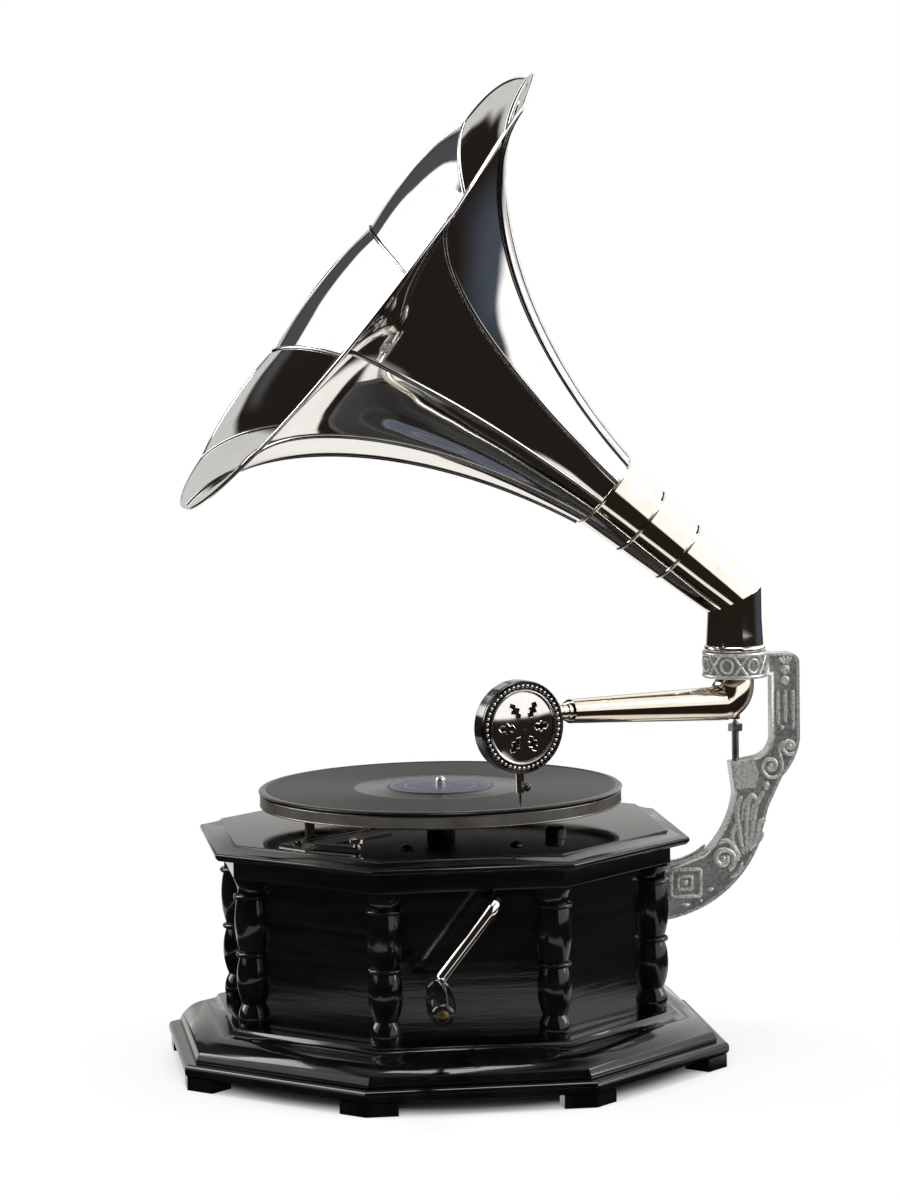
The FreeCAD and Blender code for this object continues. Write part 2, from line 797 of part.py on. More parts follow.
def motor_frame():
    """Cast plate with bearing lugs under the top board, lower plate, pillars and bolts."""
    bar = S.lug_thickness
    low = S.lug_drop + S.plate_thickness
    lug_bottom = board_bottom - low
    plates = [
        box("plate_body", (-S.plate_left, -S.plate_front, plate_bottom),
            (S.plate_right, S.plate_back, board_bottom)),
        box("plate_arm", (0, -bar, plate_bottom), (S.governor_outer_lug_x + bar, bar, board_bottom)),
        box("winding_lug", (S.crank_x - bar, -S.plate_front, lug_bottom),
            (S.crank_x + bar, -S.plate_front + bar, board_bottom)),
        box("inner_lug", (S.governor_inner_lug_x, -bar, lug_bottom),
            (S.governor_inner_lug_x + bar, bar, board_bottom)),
        box("outer_lug", (S.governor_outer_lug_x, -bar, lug_bottom),
            (S.governor_outer_lug_x + bar, bar, board_bottom)),
        cylinder("click_post", S.click_post_radius, board_bottom - click_bottom(),
                 (*click_spot(), click_bottom())),
    ]
    fit = S.running_clearance
    journal = S.spindle_journal_radius + fit
    tools = [
        cylinder("plate_spindle_bore", journal, S.plate_thickness, (0, 0, plate_bottom)),
        cylinder("plate_arbor_bore", S.arbor_radius + fit, S.plate_thickness - 1,
                 (S.crank_x, -S.barrel_offset, plate_bottom)),
        cylinder("plate_train_bore", train_arbor_radius() + fit, S.plate_thickness - 1,
                 (*intermediate_spot(), plate_bottom)),
        cylinder("winding_bore", S.winding_shaft_radius + fit, bar,
                 (S.crank_x, -S.plate_front, crank_level), ALONG_Y),
        cylinder("inner_bore", S.governor_shaft_radius + fit, bar,
                 (S.governor_inner_lug_x, 0, governor_level), ALONG_X),
        cylinder("outer_bore", S.governor_shaft_radius + fit, bar - 2,
                 (S.governor_outer_lug_x, 0, governor_level), ALONG_X),
    ]
    tools += [cylinder("plate_bolt_bore", S.motor_bolt_radius + S.screw_clearance, S.plate_thickness,
                       (*spot, plate_bottom)) for spot in motor_bolt_spots()]
    keep("motor_plate", cut("motor_plate", fused("motor_plate_blank", plates), tools))

    floor = lower_plate_top - S.plate_thickness
    deep = S.plate_thickness - 1
    sole = box("lower_plate_body", (-S.plate_left, -S.plate_front, floor),
               (S.plate_right, S.plate_back, lower_plate_top))
    keep("lower_plate", cut("lower_plate", sole, [
        cylinder("sole_spindle_bore", journal, deep, (0, 0, lower_plate_top - deep)),
        cylinder("sole_arbor_bore", S.arbor_radius + fit, deep,
                 (S.crank_x, -S.barrel_offset, lower_plate_top - deep)),
        cylinder("sole_train_bore", train_arbor_radius() + fit, deep,
                 (*intermediate_spot(), lower_plate_top - deep)),
    ]))

    pillars = doc.addObject("Part::Compound", "motor_pillars")
    inset = S.pillar_radius + 2
    spots = [(S.plate_right - inset, -S.plate_front + inset + 7),
             (-S.plate_left + inset, -S.plate_front + inset),
             (-S.plate_left + inset, S.plate_back - inset), (S.plate_right / 2, S.plate_back - inset)]
    pillars.Links = [cylinder("pillar", S.pillar_radius, S.motor_depth, (*spot, lower_plate_top))
                     for spot in spots]
    keep("motor_pillars", pillars)

    bolt = turned("motor_bolt", [
        (0, plate_bottom), (S.motor_bolt_radius, plate_bottom), (S.motor_bolt_radius, board_top),
        (S.motor_bolt_head_radius, board_top),
        dome(S.motor_bolt_head_radius, board_top, S.motor_bolt_head_height),
    ])
    bolts = copies("motor_bolts", bolt, [Placement(Vector(*spot, 0), UPRIGHT) for spot in motor_bolt_spots()])
    screw_top = board_top + S.brake_base_thickness
    head = S.brake_screw_radius * 1.7
    screw = turned("brake_screw", [
        (0, board_top - 8), (S.brake_screw_radius, board_top - 8), (S.brake_screw_radius, board_top),
        (head, board_top), (head, screw_top), (0, screw_top)])
    screws = copies("brake_screws", screw, [
        Placement(Vector(*spot, 0), UPRIGHT) for spot in brake_screw_spots()])
    fastenings = doc.addObject("Part::Compound", "board_screws")
    fastenings.Links = [bolts, screws]
    keep("board_screws", fastenings)


def train_arbor_radius():
    return S.governor_shaft_radius * 2


CLICK_HEADING = 20.0


def click_spot():
    """The click's post stands just outside the ratchet's tooth tips."""
    away = polar(S.ratchet_radius + S.click_width * 2 - S.click_post_radius + 0.8, CLICK_HEADING)
    return S.crank_x + away[0], away[1] - S.barrel_offset


def ratchet_bottom():
    return barrel_top + 2


def click_bottom():
    return ratchet_bottom() - 1


def spring_motor():
    """Barrel with its spring, winding arbor, ratchet, train and the governor's drive."""
    hub = (S.crank_x, -S.barrel_offset)
    spot = intermediate_spot()
    bore = S.arbor_radius + S.running_clearance
    to_train = math.atan2(spot[1] + S.barrel_offset, spot[0] - S.crank_x)
    wheel = gear(GREAT_TEETH, S.great_module, WHEEL_ADDENDUM, WHEEL_DEDENDUM, S.great_wheel_width,
                 bore, to_train)
    drum = Part.makeCylinder(S.barrel_radius, S.barrel_height)
    hollow = Part.makeCylinder(S.barrel_radius - S.barrel_wall, S.barrel_height,
                               Vector(0, 0, S.great_wheel_width))
    arbor_hole = Part.makeCylinder(bore, S.barrel_height)
    at_hub = Placement(Vector(*hub, barrel_bottom), UPRIGHT)
    keep("spring_barrel", shaped("spring_barrel", drum.cut([hollow, arbor_hole]).fuse(wheel), at_hub))

    inside = S.barrel_radius - S.barrel_wall
    lid_bottom = barrel_top - S.barrel_wall
    keep("barrel_cover", turned("barrel_cover", [
        (bore, 0), (inside - S.screw_clearance, 0), (inside - S.screw_clearance, S.barrel_wall),
        (bore, S.barrel_wall)], (*hub, lid_bottom)))

    keep("mainspring", shaped("mainspring", mainspring(inside), Placement(
        Vector(*hub, barrel_bottom + S.great_wheel_width), UPRIGHT)))

    lift = lower_plate_top - S.plate_thickness + 1 + S.seat_gap
    top = plate_bottom + S.plate_thickness - 1 - S.seat_gap
    collar_top = barrel_bottom - S.seat_gap
    keep("winding_arbor", turned("winding_arbor", [
        (0, lift), (S.arbor_radius, lift), (S.arbor_radius, collar_top - 3),
        (S.arbor_radius + 2.5, collar_top - 3), (S.arbor_radius + 2.5, collar_top),
        (S.arbor_radius, collar_top), (S.arbor_radius, top), (0, top)], (*hub, 0)))

    crown_pitch = crank_level - winding_pinion_radius
    step = 360.0 / CROWN_TEETH
    wheel = crown(CROWN_TEETH, S.winding_module, float(S.crown_rim_width), 3.0, S.arbor_radius,
                  -90 + step / 2)
    saw = ratchet()
    saw.translate(Vector(0, 0, ratchet_bottom() - crown_pitch))
    boss = Part.makeCylinder(S.arbor_radius + 4, crown_pitch - ratchet_bottom() - 3,
                             Vector(0, 0, ratchet_bottom() - crown_pitch))
    boss = boss.cut(Part.makeCylinder(S.arbor_radius, S.barrel_height * 2, Vector(0, 0, -S.barrel_height)))
    keep("winding_wheel", shaped("winding_wheel", wheel.fuse([saw, boss]), Placement(
        Vector(*hub, crown_pitch), UPRIGHT)))

    foot_x, foot_y = click_spot()
    arm = S.click_width
    click = padded("click", [
        (-arm * 0.7, -arm), (arm, -arm), (arm, arm), (-arm * 0.4, arm * 2.4), (-arm * 2, arm * 1.63),
        (-arm * 1.55, arm * 0.84), (-arm * 1.2, 0)],
        S.ratchet_width, (foot_x, foot_y, ratchet_bottom()),
        Rotation(Z_AXIS, CLICK_HEADING))
    bored(click, "XY_Plane", [((0, 0), S.click_post_radius + S.running_clearance)], S.ratchet_width * 3)
    keep("click", click)

    shaft_end = -(S.barrel_offset + crown_radius) + S.winding_pinion_width / 2
    socket = -(S.panel_apothem - S.panel_thickness) + 2
    run = shaft_end - socket
    pinion = gear(WINDING_PINION_TEETH, S.winding_module, PINION_ADDENDUM, PINION_DEDENDUM,
                  S.winding_pinion_width, 0, -math.pi / 2)
    lathe = Part.makeCylinder(S.winding_shaft_radius, run)
    cup = Part.makeCylinder(S.winding_socket_radius, S.winding_socket_length)
    cup = cup.cut(Part.makeCylinder(S.crank_rod_radius, S.winding_socket_length - 2))
    lathe = lathe.cut(Part.makeCylinder(S.winding_socket_radius, S.winding_socket_length - 2))
    pinion.translate(Vector(0, 0, run - S.winding_pinion_width))
    along = Rotation(X_AXIS, Vector(0, 0, -1), Y_AXIS, "ZXY")
    keep("winding_shaft", shaped("winding_shaft", lathe.fuse([cup, pinion]), Placement(
        Vector(S.crank_x, socket, crank_level), along)))

    train_turn = math.atan2(spot[1] + S.barrel_offset, spot[0] - S.crank_x) + math.pi
    fit = train_arbor_radius()
    small = gear(INTERMEDIATE_PINION_TEETH, S.great_module, PINION_ADDENDUM, PINION_DEDENDUM,
                 S.great_wheel_width, 0, train_turn + math.pi / INTERMEDIATE_PINION_TEETH)
    stem = Part.makeCylinder(fit, top - lift)
    small.translate(Vector(0, 0, barrel_bottom - lift))
    to_spindle = math.atan2(-spot[1], -spot[0])
    large = gear(INTERMEDIATE_TEETH, S.train_module, WHEEL_ADDENDUM, WHEEL_DEDENDUM,
                 S.train_wheel_width, 0, to_spindle)
    large.translate(Vector(0, 0, train_bottom - lift))
    keep("intermediate_gear", shaped("intermediate_gear", stem.fuse([small, large]), Placement(
        Vector(*spot, lift), UPRIGHT)))

    contrate_pitch = governor_level - governor_pinion_radius
    half_step = 180.0 / CONTRATE_TEETH
    keep("governor_drive_wheel", shaped("governor_drive_wheel", crown(
        CONTRATE_TEETH, S.governor_module, float(S.contrate_rim_width), 2.5,
        S.spindle_journal_radius, half_step), Placement(Vector(0, 0, contrate_pitch), UPRIGHT)))


def mainspring(inside):
    """Flat spiral band: half circles that grow about two alternating centres."""
    grow = S.mainspring_pitch / 2
    turns = int((inside - S.mainspring_start_radius - S.mainspring_thickness - 0.5) / grow)
    edges = []
    ends = []
    for face in (0, S.mainspring_thickness):
        for half in range(turns):
            radius = S.mainspring_start_radius + grow * half + face
            centre = 0 if half % 2 == 0 else grow
            side = 1 if half % 2 == 0 else -1
            start = Vector(centre + side * radius, 0, 0)
            stop = Vector(centre - side * radius, 0, 0)
            edges.append(Part.Arc(start, Vector(centre, side * radius, 0), stop).toShape())
            if half == 0:
                ends.append(start)
        ends.append(stop)
    edges.append(Part.makeLine(ends[0], ends[2]))
    edges.append(Part.makeLine(ends[1], ends[3]))
    band = Part.Face(Part.Wire(Part.__sortEdges__(edges)))
    return band.extrude(Vector(0, 0, S.barrel_height - S.great_wheel_width - S.barrel_wall - 2))


RATCHET_TEETH = 24


def ratchet():
    """Saw-toothed wheel that the click holds."""
    points = []
    for tooth in range(RATCHET_TEETH):
        start = 360.0 * tooth / RATCHET_TEETH
        points.append(Vector(*polar(S.ratchet_radius, start), 0))
        points.append(Vector(*polar(S.ratchet_radius - S.ratchet_tooth, start), 0))
    blank = Part.Face(Part.makePolygon(points + points[:1])).extrude(Vector(0, 0, S.ratchet_width))
    return blank.cut(Part.makeCylinder(S.arbor_radius, S.ratchet_width))


def governor():
    """Shaft with its pinion, flying weights on leaf springs, brake disc, and the regulator."""
    inner = contrate_radius - S.contrate_rim_width / 2
    end = S.governor_outer_lug_x + S.lug_thickness - 2 - S.seat_gap
    stem = Part.makeCylinder(S.governor_shaft_radius, end - inner)
    pinion = gear(GOVERNOR_PINION_TEETH, S.governor_module, PINION_ADDENDUM, PINION_DEDENDUM,
                  S.contrate_rim_width, 0, 0.0)
    collar = Part.makeCylinder(S.governor_spring_radius - S.governor_spring_thickness, 5,
                               Vector(0, 0, S.governor_collar_x - inner))
    at_shaft = Placement(Vector(inner, 0, governor_level), ALONG_X)
    keep("governor_shaft", shaped("governor_shaft", stem.fuse([pinion, collar]), at_shaft))

    disc = Part.makeCylinder(S.governor_disc_radius, S.governor_disc_thickness)
    hub = Part.makeCylinder(S.governor_spring_radius - S.governor_spring_thickness, 6, Vector(0, 0, -6))
    hole = Part.makeCylinder(S.governor_shaft_radius, 6 + S.governor_disc_thickness, Vector(0, 0, -6))
    keep("governor_disc", shaped("governor_disc", disc.fuse(hub).cut(hole), Placement(
        Vector(S.governor_disc_x, 0, governor_level), ALONG_X)))

    start = S.governor_collar_x
    stop = S.governor_disc_x - 1
    strip = Part.makeBox(S.governor_spring_thickness, S.governor_spring_width, stop - start,
                         Vector(S.governor_spring_radius - S.governor_spring_thickness,
                                -S.governor_spring_width / 2, 0))
    middle = (start + stop) / 2
    ball = Part.makeSphere(S.governor_weight_radius, Vector(
        S.governor_spring_radius + S.governor_weight_radius * 0.8, 0, middle - start))
    face = Part.makeBox(S.governor_weight_radius * 2, S.governor_weight_radius * 2,
                        S.governor_weight_radius * 2,
                        Vector(S.governor_spring_radius, -S.governor_weight_radius,
                               middle - start - S.governor_weight_radius))
    thirds = around(3, 120)
    at_springs = Placement(Vector(start, 0, governor_level), ALONG_X)
    keep("governor_springs", shaped("governor_springs", Part.makeCompound(
        [at_place(strip, turn) for turn in thirds]), at_springs))
    keep("governor_weights", shaped("governor_weights", Part.makeCompound(
        [at_place(ball.common(face), turn) for turn in thirds]), at_springs))

    post = S.regulator_knob_radius
    arm_level = governor_level - S.regulator_arm_thickness / 2
    knob_bottom = board_top + S.seat_gap
    keep("regulator_knob", turned("regulator_knob", [
        (0, arm_level), (S.regulator_shaft_radius, arm_level),
        (S.regulator_shaft_radius, knob_bottom), (post, knob_bottom),
        (post, knob_bottom + S.regulator_knob_height - 2),
        (post - 2, knob_bottom + S.regulator_knob_height), (0, knob_bottom + S.regulator_knob_height),
    ], (S.regulator_x, -S.regulator_y, 0)))

    pad_x = S.governor_disc_x + S.governor_disc_thickness + S.seat_gap + S.felt_pad_thickness
    pad_y = -(S.governor_disc_radius - S.felt_pad_radius - 1)
    reach_x = pad_x + S.regulator_arm_width / 2 - S.regulator_x
    reach_y = pad_y + S.regulator_y
    length = math.hypot(reach_x, reach_y)
    half = S.regulator_arm_width / 2
    blade = Part.makeBox(length + half, S.regulator_arm_width, S.regulator_arm_thickness,
                         Vector(0, -half, -S.regulator_arm_thickness / 2))
    eye = Part.makeCylinder(half + 2, S.regulator_arm_thickness, Vector(0, 0, -S.regulator_arm_thickness / 2))
    shaft_hole = Part.makeCylinder(S.regulator_shaft_radius, 40, Vector(0, 0, -20))
    blade = blade.fuse(eye).cut(shaft_hole)
    blade.rotate(Vector(), Z_AXIS, math.degrees(math.atan2(reach_y, reach_x)))
    felt = Part.makeCylinder(S.felt_pad_radius, S.felt_pad_thickness,
                             Vector(reach_x - half - S.felt_pad_thickness, reach_y, 0), X_AXIS)
    hanger = Part.makeBox(S.regulator_arm_width, S.felt_pad_radius * 2, S.felt_pad_radius * 2, Vector(
        reach_x - half, reach_y - S.felt_pad_radius, -S.felt_pad_radius))
    keep("regulator_arm", shaped("regulator_arm", blade.fuse([hanger, felt.cut(blade)]), Placement(
        Vector(S.regulator_x, -S.regulator_y, governor_level), UPRIGHT)))


def crank():
    """Bent plated rod, its turned grip and the riveted brass pin end."""
    bend = S.crank_bend_radius
    arm = polar(1.0, -90 - (90 - S.crank_arm_angle))
    down = Vector(arm[0], 0, arm[1])
    out = Vector(0, -1, 0)
    splay = math.radians(S.handle_splay_angle)
    grip_way = out * math.cos(splay) + down * math.sin(splay)
    inside = -(S.panel_apothem - S.panel_thickness) + S.winding_socket_length
    start = Vector(S.crank_x, inside, crank_level)
    knee = Vector(S.crank_x, -(S.panel_apothem + S.crank_stand_off), crank_level)
    wrist = knee + down * float(S.crank_arm_length)
    shoulder = wrist + grip_way * (float(S.crank_rod_radius) + float(bend))
    rod = piped(rounded_route([start, knee, wrist, shoulder], bend), S.crank_rod_radius)
    turn = Rotation(Vector(0, 0, 1), grip_way)
    pin = Part.makeCylinder(S.handle_pin_radius, S.handle_length + S.seat_gap, Vector(), Z_AXIS)
    pin.Placement = Placement(shoulder, turn)
    keep("crank_arm", shaped("crank_arm", rod.fuse(pin)))

    gap = S.seat_gap
    bore = S.handle_pin_radius + S.running_clearance
    grip = turned("crank_knob", [
        (bore, gap), (S.handle_end_radius, gap),
        ((S.handle_radius, gap + S.handle_length * 0.55),
         (S.handle_end_radius, gap + S.handle_length - 2 - gap)),
        (S.handle_end_radius - 2, gap + S.handle_length - gap), (bore, gap + S.handle_length - gap)])
    grip.Placement = Placement(shoulder, turn)
    keep("crank_knob", grip)

    rivet = turned("crank_rivet", [
        (0, 0), (S.rivet_radius, 0), dome(S.rivet_radius, 0, S.rivet_height)])
    rivet.Placement = Placement(shoulder + grip_way * float(S.handle_length + S.seat_gap), turn)
    keep("crank_rivet", rivet)


def rounded_route(points, radius):
    """Straight runs joined by tangent arcs of one radius."""
    edges = []
    here = points[0]
    for before, corner, after in zip(points, points[1:], points[2:]):
        back = (before - corner).normalize()
        on = (after - corner).normalize()
        half = back.getAngle(on) / 2
        tangent = float(radius) / math.tan(half)
        middle = (back + on).normalize() * (float(radius) / math.sin(half) - float(radius))
        first = corner + back * tangent
        last = corner + on * tangent
        edges.append(Part.makeLine(here, first))
        edges.append(Part.Arc(first, corner + middle, last).toShape())
        here = last
    edges.append(Part.makeLine(here, points[-1]))
    return Part.Wire(edges)


def piped(route, radius):
    first = route.Edges[0]
    way = first.tangentAt(first.FirstParameter)
    ring = Part.Wire(Part.makeCircle(float(radius), first.Vertexes[0].Point, way))
    return route.makePipeShell([ring], True, False)


def turntable():
    """Spindle with its pinion, pressed platter, felt, record and its paper label."""
    lift = lower_plate_top - S.plate_thickness + 1 + S.seat_gap
    hub_bottom = board_top + S.hub_gap
    tip = record_top + S.spindle_tip_height
    stem = turned("spindle_stem", [
        (0, lift), (S.spindle_journal_radius, lift), (S.spindle_journal_radius, platter_top),
        (S.spindle_radius, platter_top), (S.spindle_radius, tip - S.spindle_radius * 0.7),
        dome(S.spindle_radius, tip - S.spindle_radius * 0.7, S.spindle_radius * 0.7)])
    doc.recompute()
    spot = intermediate_spot()
    mesh = math.atan2(spot[1], spot[0]) + math.pi / SPINDLE_PINION_TEETH
    pinion = gear(SPINDLE_PINION_TEETH, S.train_module, PINION_ADDENDUM, PINION_DEDENDUM,
                  S.train_wheel_width + 2, 0, mesh)
    pinion.translate(Vector(0, 0, train_bottom - 1))
    keep("spindle", shaped("spindle", stem.Shape.fuse(pinion)))

    rim = S.platter_radius - S.platter_rim_wall
    web = platter_top - S.platter_thickness
    keep("turntable_platter", turned("turntable_platter", [
        (S.spindle_journal_radius, hub_bottom), (S.platter_hub_radius - 1, hub_bottom),
        (S.platter_hub_radius - 1, web), (rim, web), (rim, platter_bottom),
        (S.platter_radius, platter_bottom), (S.platter_radius, platter_top - 1),
        (S.platter_radius - 1, platter_top), (S.spindle_journal_radius, platter_top)]))
    keep("turntable_felt", turned("turntable_felt", [
        (S.spindle_radius + S.screw_clearance, platter_top), (S.platter_radius - 2, platter_top),
        (S.platter_radius - 2, record_bottom), (S.spindle_radius + S.screw_clearance, record_bottom)]))
    hole = S.spindle_radius + S.screw_clearance
    groove = S.record_thickness * 0.25
    keep("record_disc", turned("record_disc", [
        (hole, record_bottom), (S.record_radius - groove, record_bottom),
        ((S.record_radius, record_bottom + S.record_thickness / 2), (S.record_radius - groove, record_top)),
        (hole, record_top)]))
    keep("record_label", turned("record_label", [
        (hole, record_top), (S.label_radius, record_top), (S.label_radius, record_top + S.label_thickness),
        (hole, record_top + S.label_thickness)]))


BRAKE_BASE_HEADING = 127.0


def brake_screw_reach():
    return S.brake_base_length / 2 - S.brake_screw_radius * 2 - 1


def brake_screw_spots():
    aside, along = polar(brake_screw_reach(), BRAKE_BASE_HEADING)
    return [(-S.brake_x + aside, -S.brake_y + along), (-S.brake_x - aside, -S.brake_y - along)]


def brake():
    """Base plate with its pivot post, lever with the trip rod, rubber pad and knob."""
    spot = (-S.brake_x, -S.brake_y)
    long, wide = S.brake_base_length / 2, S.brake_base_width / 2
    level = board_top + S.brake_base_thickness
    lever_bottom = level + S.seat_gap
    lever_top = lever_bottom + S.brake_lever_thickness
    plan = [(-long, -wide), (long, -wide), (long, wide), (-long, wide)]
    tilt = Rotation(Z_AXIS, BRAKE_BASE_HEADING)
    base = padded("brake_base", plan, S.brake_base_thickness, (*spot, board_top), tilt)
    disc = new_sketch(base, "XY_Plane")
    draw_circle(disc, (0, 0), S.brake_post_radius)
    pad(base, disc, lever_top + 1 - board_top)
    screw_x = brake_screw_reach()
    head = S.brake_screw_radius * 1.7
    bored(base, "XY_Plane", [((screw_x, 0), head + S.screw_clearance),
                             ((-screw_x, 0), head + S.screw_clearance)], S.brake_base_thickness * 3)
    keep("brake_base", base)

    half = S.brake_lever_width / 2
    eye = Part.makeCylinder(half + 2, S.brake_lever_thickness)
    blade = Part.makeBox(S.brake_knob_reach, S.brake_lever_width, S.brake_lever_thickness,
                         Vector(0, -half, 0))
    blade.rotate(Vector(), Z_AXIS, S.brake_knob_angle)
    knob_end = Part.makeCylinder(half, S.brake_lever_thickness,
                                 Vector(*polar(S.brake_knob_reach, S.brake_knob_angle), 0))
    tail = Part.makeBox(S.brake_pad_reach, S.brake_lever_width, S.brake_lever_thickness, Vector(0, -half, 0))
    tail.rotate(Vector(), Z_AXIS, S.brake_pad_angle)
    pad_end = Part.makeCylinder(half, S.brake_lever_thickness,
                                Vector(*polar(S.brake_pad_reach, S.brake_pad_angle), 0))
    rod_way = Vector(*polar(1.0, S.brake_rod_angle), 0)
    rod_start = rod_way * float(S.brake_post_radius + 1) + Vector(0, 0, S.brake_lever_thickness)
    rod = Part.makeCylinder(S.brake_rod_radius, S.brake_rod_reach, rod_start, rod_way)
    pivot = Part.makeCylinder(S.brake_post_radius + S.running_clearance, 10, Vector(0, 0, -2))
    lever = eye.fuse([blade, knob_end, tail, pad_end, rod]).cut(pivot)
    keep("brake_lever", shaped("brake_lever", lever, Placement(Vector(*spot, lever_bottom), UPRIGHT)))

    knob_x, knob_y = polar(S.brake_knob_reach, S.brake_knob_angle)
    keep("brake_knob", turned("brake_knob", [
        (0, 0), (S.brake_knob_radius * 0.5, 0), (S.brake_knob_radius * 0.5, 1),
        (S.brake_knob_radius, 2.5), (S.brake_knob_radius, S.brake_knob_height - 1.5),
        dome(S.brake_knob_radius, S.brake_knob_height - 1.5, S.brake_knob_height * 0.25)],
        (spot[0] + knob_x, spot[1] + knob_y, lever_top)))
    pad_x, pad_y = polar(S.brake_pad_reach, S.brake_pad_angle)
    pad_height = platter_bottom + S.platter_height * 0.45 - lever_top
    keep("brake_pad", turned("brake_pad", [
        (0, 0), (S.brake_pad_radius, 0), (S.brake_pad_radius, pad_height - 0.8),
        (S.brake_pad_radius - 0.8, pad_height), (0, pad_height)],
        (spot[0] + pad_x, spot[1] + pad_y, lever_top)))


def bracket():
    """Cast bracket: flange on the panel, curved arm, shelf for the pivot screw, ring for the horn.

    The offsets of its outline are shares of the arm's width.
    """
    casting = body("bracket_casting")
    outline = new_sketch(casting, "XZ_Plane")
    root = S.panel_apothem + S.flange_thickness / 2
    low = S.bracket_root_bottom
    high = S.bracket_root_bottom + S.bracket_root_height
    reach = S.bracket_reach
    wide = S.bracket_arm_width
    arm_in = reach + S.ring_radius + wide * 0.1
    arm_out = arm_in + wide
    shelf = shelf_top
    tip = reach - S.shelf_depth * 0.25
    hollow_top = shelf - wide * 1.25
    hollow_bottom = high + wide * 0.55
    draw(outline, [
        (root, low),
        (root + wide, low + wide * 0.1),
        ((reach - wide * 0.15, low + wide * 1.3), (reach + wide * 0.75, low + wide * 2.65)),
        (reach + wide * 1.1, shelf - wide * 1.75),
        (reach + wide * 1.6, shelf - wide * 0.7),
        ((arm_out - wide * 0.225, shelf - wide * 0.1), (arm_out, shelf + wide * 0.6)),
        (arm_out, ring_top - wide * 0.5),
        ((arm_out - wide * 0.11, ring_top - wide * 0.2), (arm_out - wide * 0.4, ring_top - wide * 0.1)),
        (reach + S.ring_radius * 0.8, ring_top - wide * 0.1),
        (reach + S.ring_radius * 0.8, ring_bottom + wide * 0.05),
        (arm_in, ring_bottom + wide * 0.05),
        (arm_in, shelf + wide * 0.8),
        ((arm_in - wide * 0.2, shelf + wide * 0.225), (reach + wide * 0.6, shelf)),
        (tip, shelf - wide * 0.15),
        (tip + wide * 0.15, hollow_top),
        ((tip - wide * 0.25, hollow_bottom + (hollow_top - hollow_bottom) * 0.412),
         (reach - wide * 1.2, hollow_bottom)),
        (root + wide * 0.9, high + wide * 0.05),
        (root, high),
    ])
    pad(casting, outline, S.bracket_thickness, True)
    collar = new_sketch(casting, "XY_Plane", ring_bottom)
    draw_circle(collar, (reach, 0), S.ring_radius)
    pad(casting, collar, S.ring_height)
    foot = new_sketch(casting, "XZ_Plane")
    foot_low = low - S.flange_overhang
    foot_high = high + S.flange_overhang
    draw(foot, [(S.panel_apothem, foot_low), (S.panel_apothem + S.flange_thickness, foot_low),
                (S.panel_apothem + S.flange_thickness, foot_high), (S.panel_apothem, foot_high)])
    pad(casting, foot, S.flange_half_width * 2, True)
    bore = new_sketch(casting, "XY_Plane", ring_top)
    draw_circle(bore, (reach, 0), S.spigot_radius + S.running_clearance)
    pocket(casting, bore, S.ring_height * 3)
    stud = new_sketch(casting, "XY_Plane", shelf)
    draw_circle(stud, (reach, 0), S.pivot_screw_radius + S.screw_clearance)
    pocket(casting, stud, (S.pivot_screw_depth + S.pivot_hole_spare) * 2)
    bored(casting, "YZ_Plane", [(spot, S.bracket_bolt_radius + S.screw_clearance)
                                for spot in bracket_bolt_spots()],
          S.panel_apothem * 2 + S.flange_thickness * 3)
    keep("bracket_casting", casting)

    inside = S.panel_apothem - S.panel_thickness
    outside = S.panel_apothem + S.flange_thickness
    nut = inside - S.bracket_nut_thickness
    bolt = turned("bracket_bolt", [
        (0, nut - 1.5), (S.bracket_bolt_radius, nut - 1.5), (S.bracket_bolt_radius, nut),
        (S.bracket_bolt_head_radius, nut), (S.bracket_bolt_head_radius, inside),
        (S.bracket_bolt_radius, inside), (S.bracket_bolt_radius, outside),
        (S.bracket_bolt_head_radius, outside),
        dome(S.bracket_bolt_head_radius, outside, S.bracket_bolt_head_height)])
    keep("bracket_bolts", copies("bracket_bolts", bolt, [
        Placement(Vector(0, *spot), ALONG_X) for spot in bracket_bolt_spots()]))

    under = tonearm_underside()
    foot_level = shelf_top - S.pivot_screw_depth
    keep("pivot_screw", turned("pivot_screw", [
        (0, foot_level), (S.pivot_screw_radius, foot_level),
        (S.pivot_screw_radius, under - S.pivot_screw_radius - S.seat_gap),
        (0.6, under - S.seat_gap), (0, under - S.seat_gap)], (S.bracket_reach, 0, 0)))
    hexagon = doc.addObject("Part::Prism", "pivot_nut_blank")
    hexagon.Polygon = 6
    bind(hexagon, "Circumradius", S.pivot_nut_flats / (2 * math.cos(math.pi / 6)))
    bind(hexagon, "Height", S.pivot_nut_height)
    nut_bottom = under - S.pivot_screw_radius - 1 - S.pivot_nut_height
    place(hexagon, (S.bracket_reach, 0, nut_bottom))
    keep("pivot_nut", cut("pivot_nut", hexagon, [cylinder(
        "pivot_nut_bore", S.pivot_screw_radius, S.pivot_nut_height, (S.bracket_reach, 0, nut_bottom))]))


def tonearm_underside():
    """Lowest level of the elbow on the swing axis, where the pivot screw's point carries it."""
    return tonearm_level - S.tonearm_elbow_radius - 1


def arm_frame():
    """The arm's own frame: where its swing axis stands, its heading and its side."""
    lean = math.asin(S.head_offset / S.tonearm_reach)
    heading = math.pi + math.radians(S.tonearm_rest_angle) - lean
    along = Vector(math.cos(heading), math.sin(heading), 0)
    side = Vector(-math.sin(heading), math.cos(heading), 0)
    return Vector(S.bracket_reach, 0, 0), along, side


def arm_axis_level(distance):
    return tonearm_level + S.tonearm_rise * (distance - S.tonearm_bend_radius)


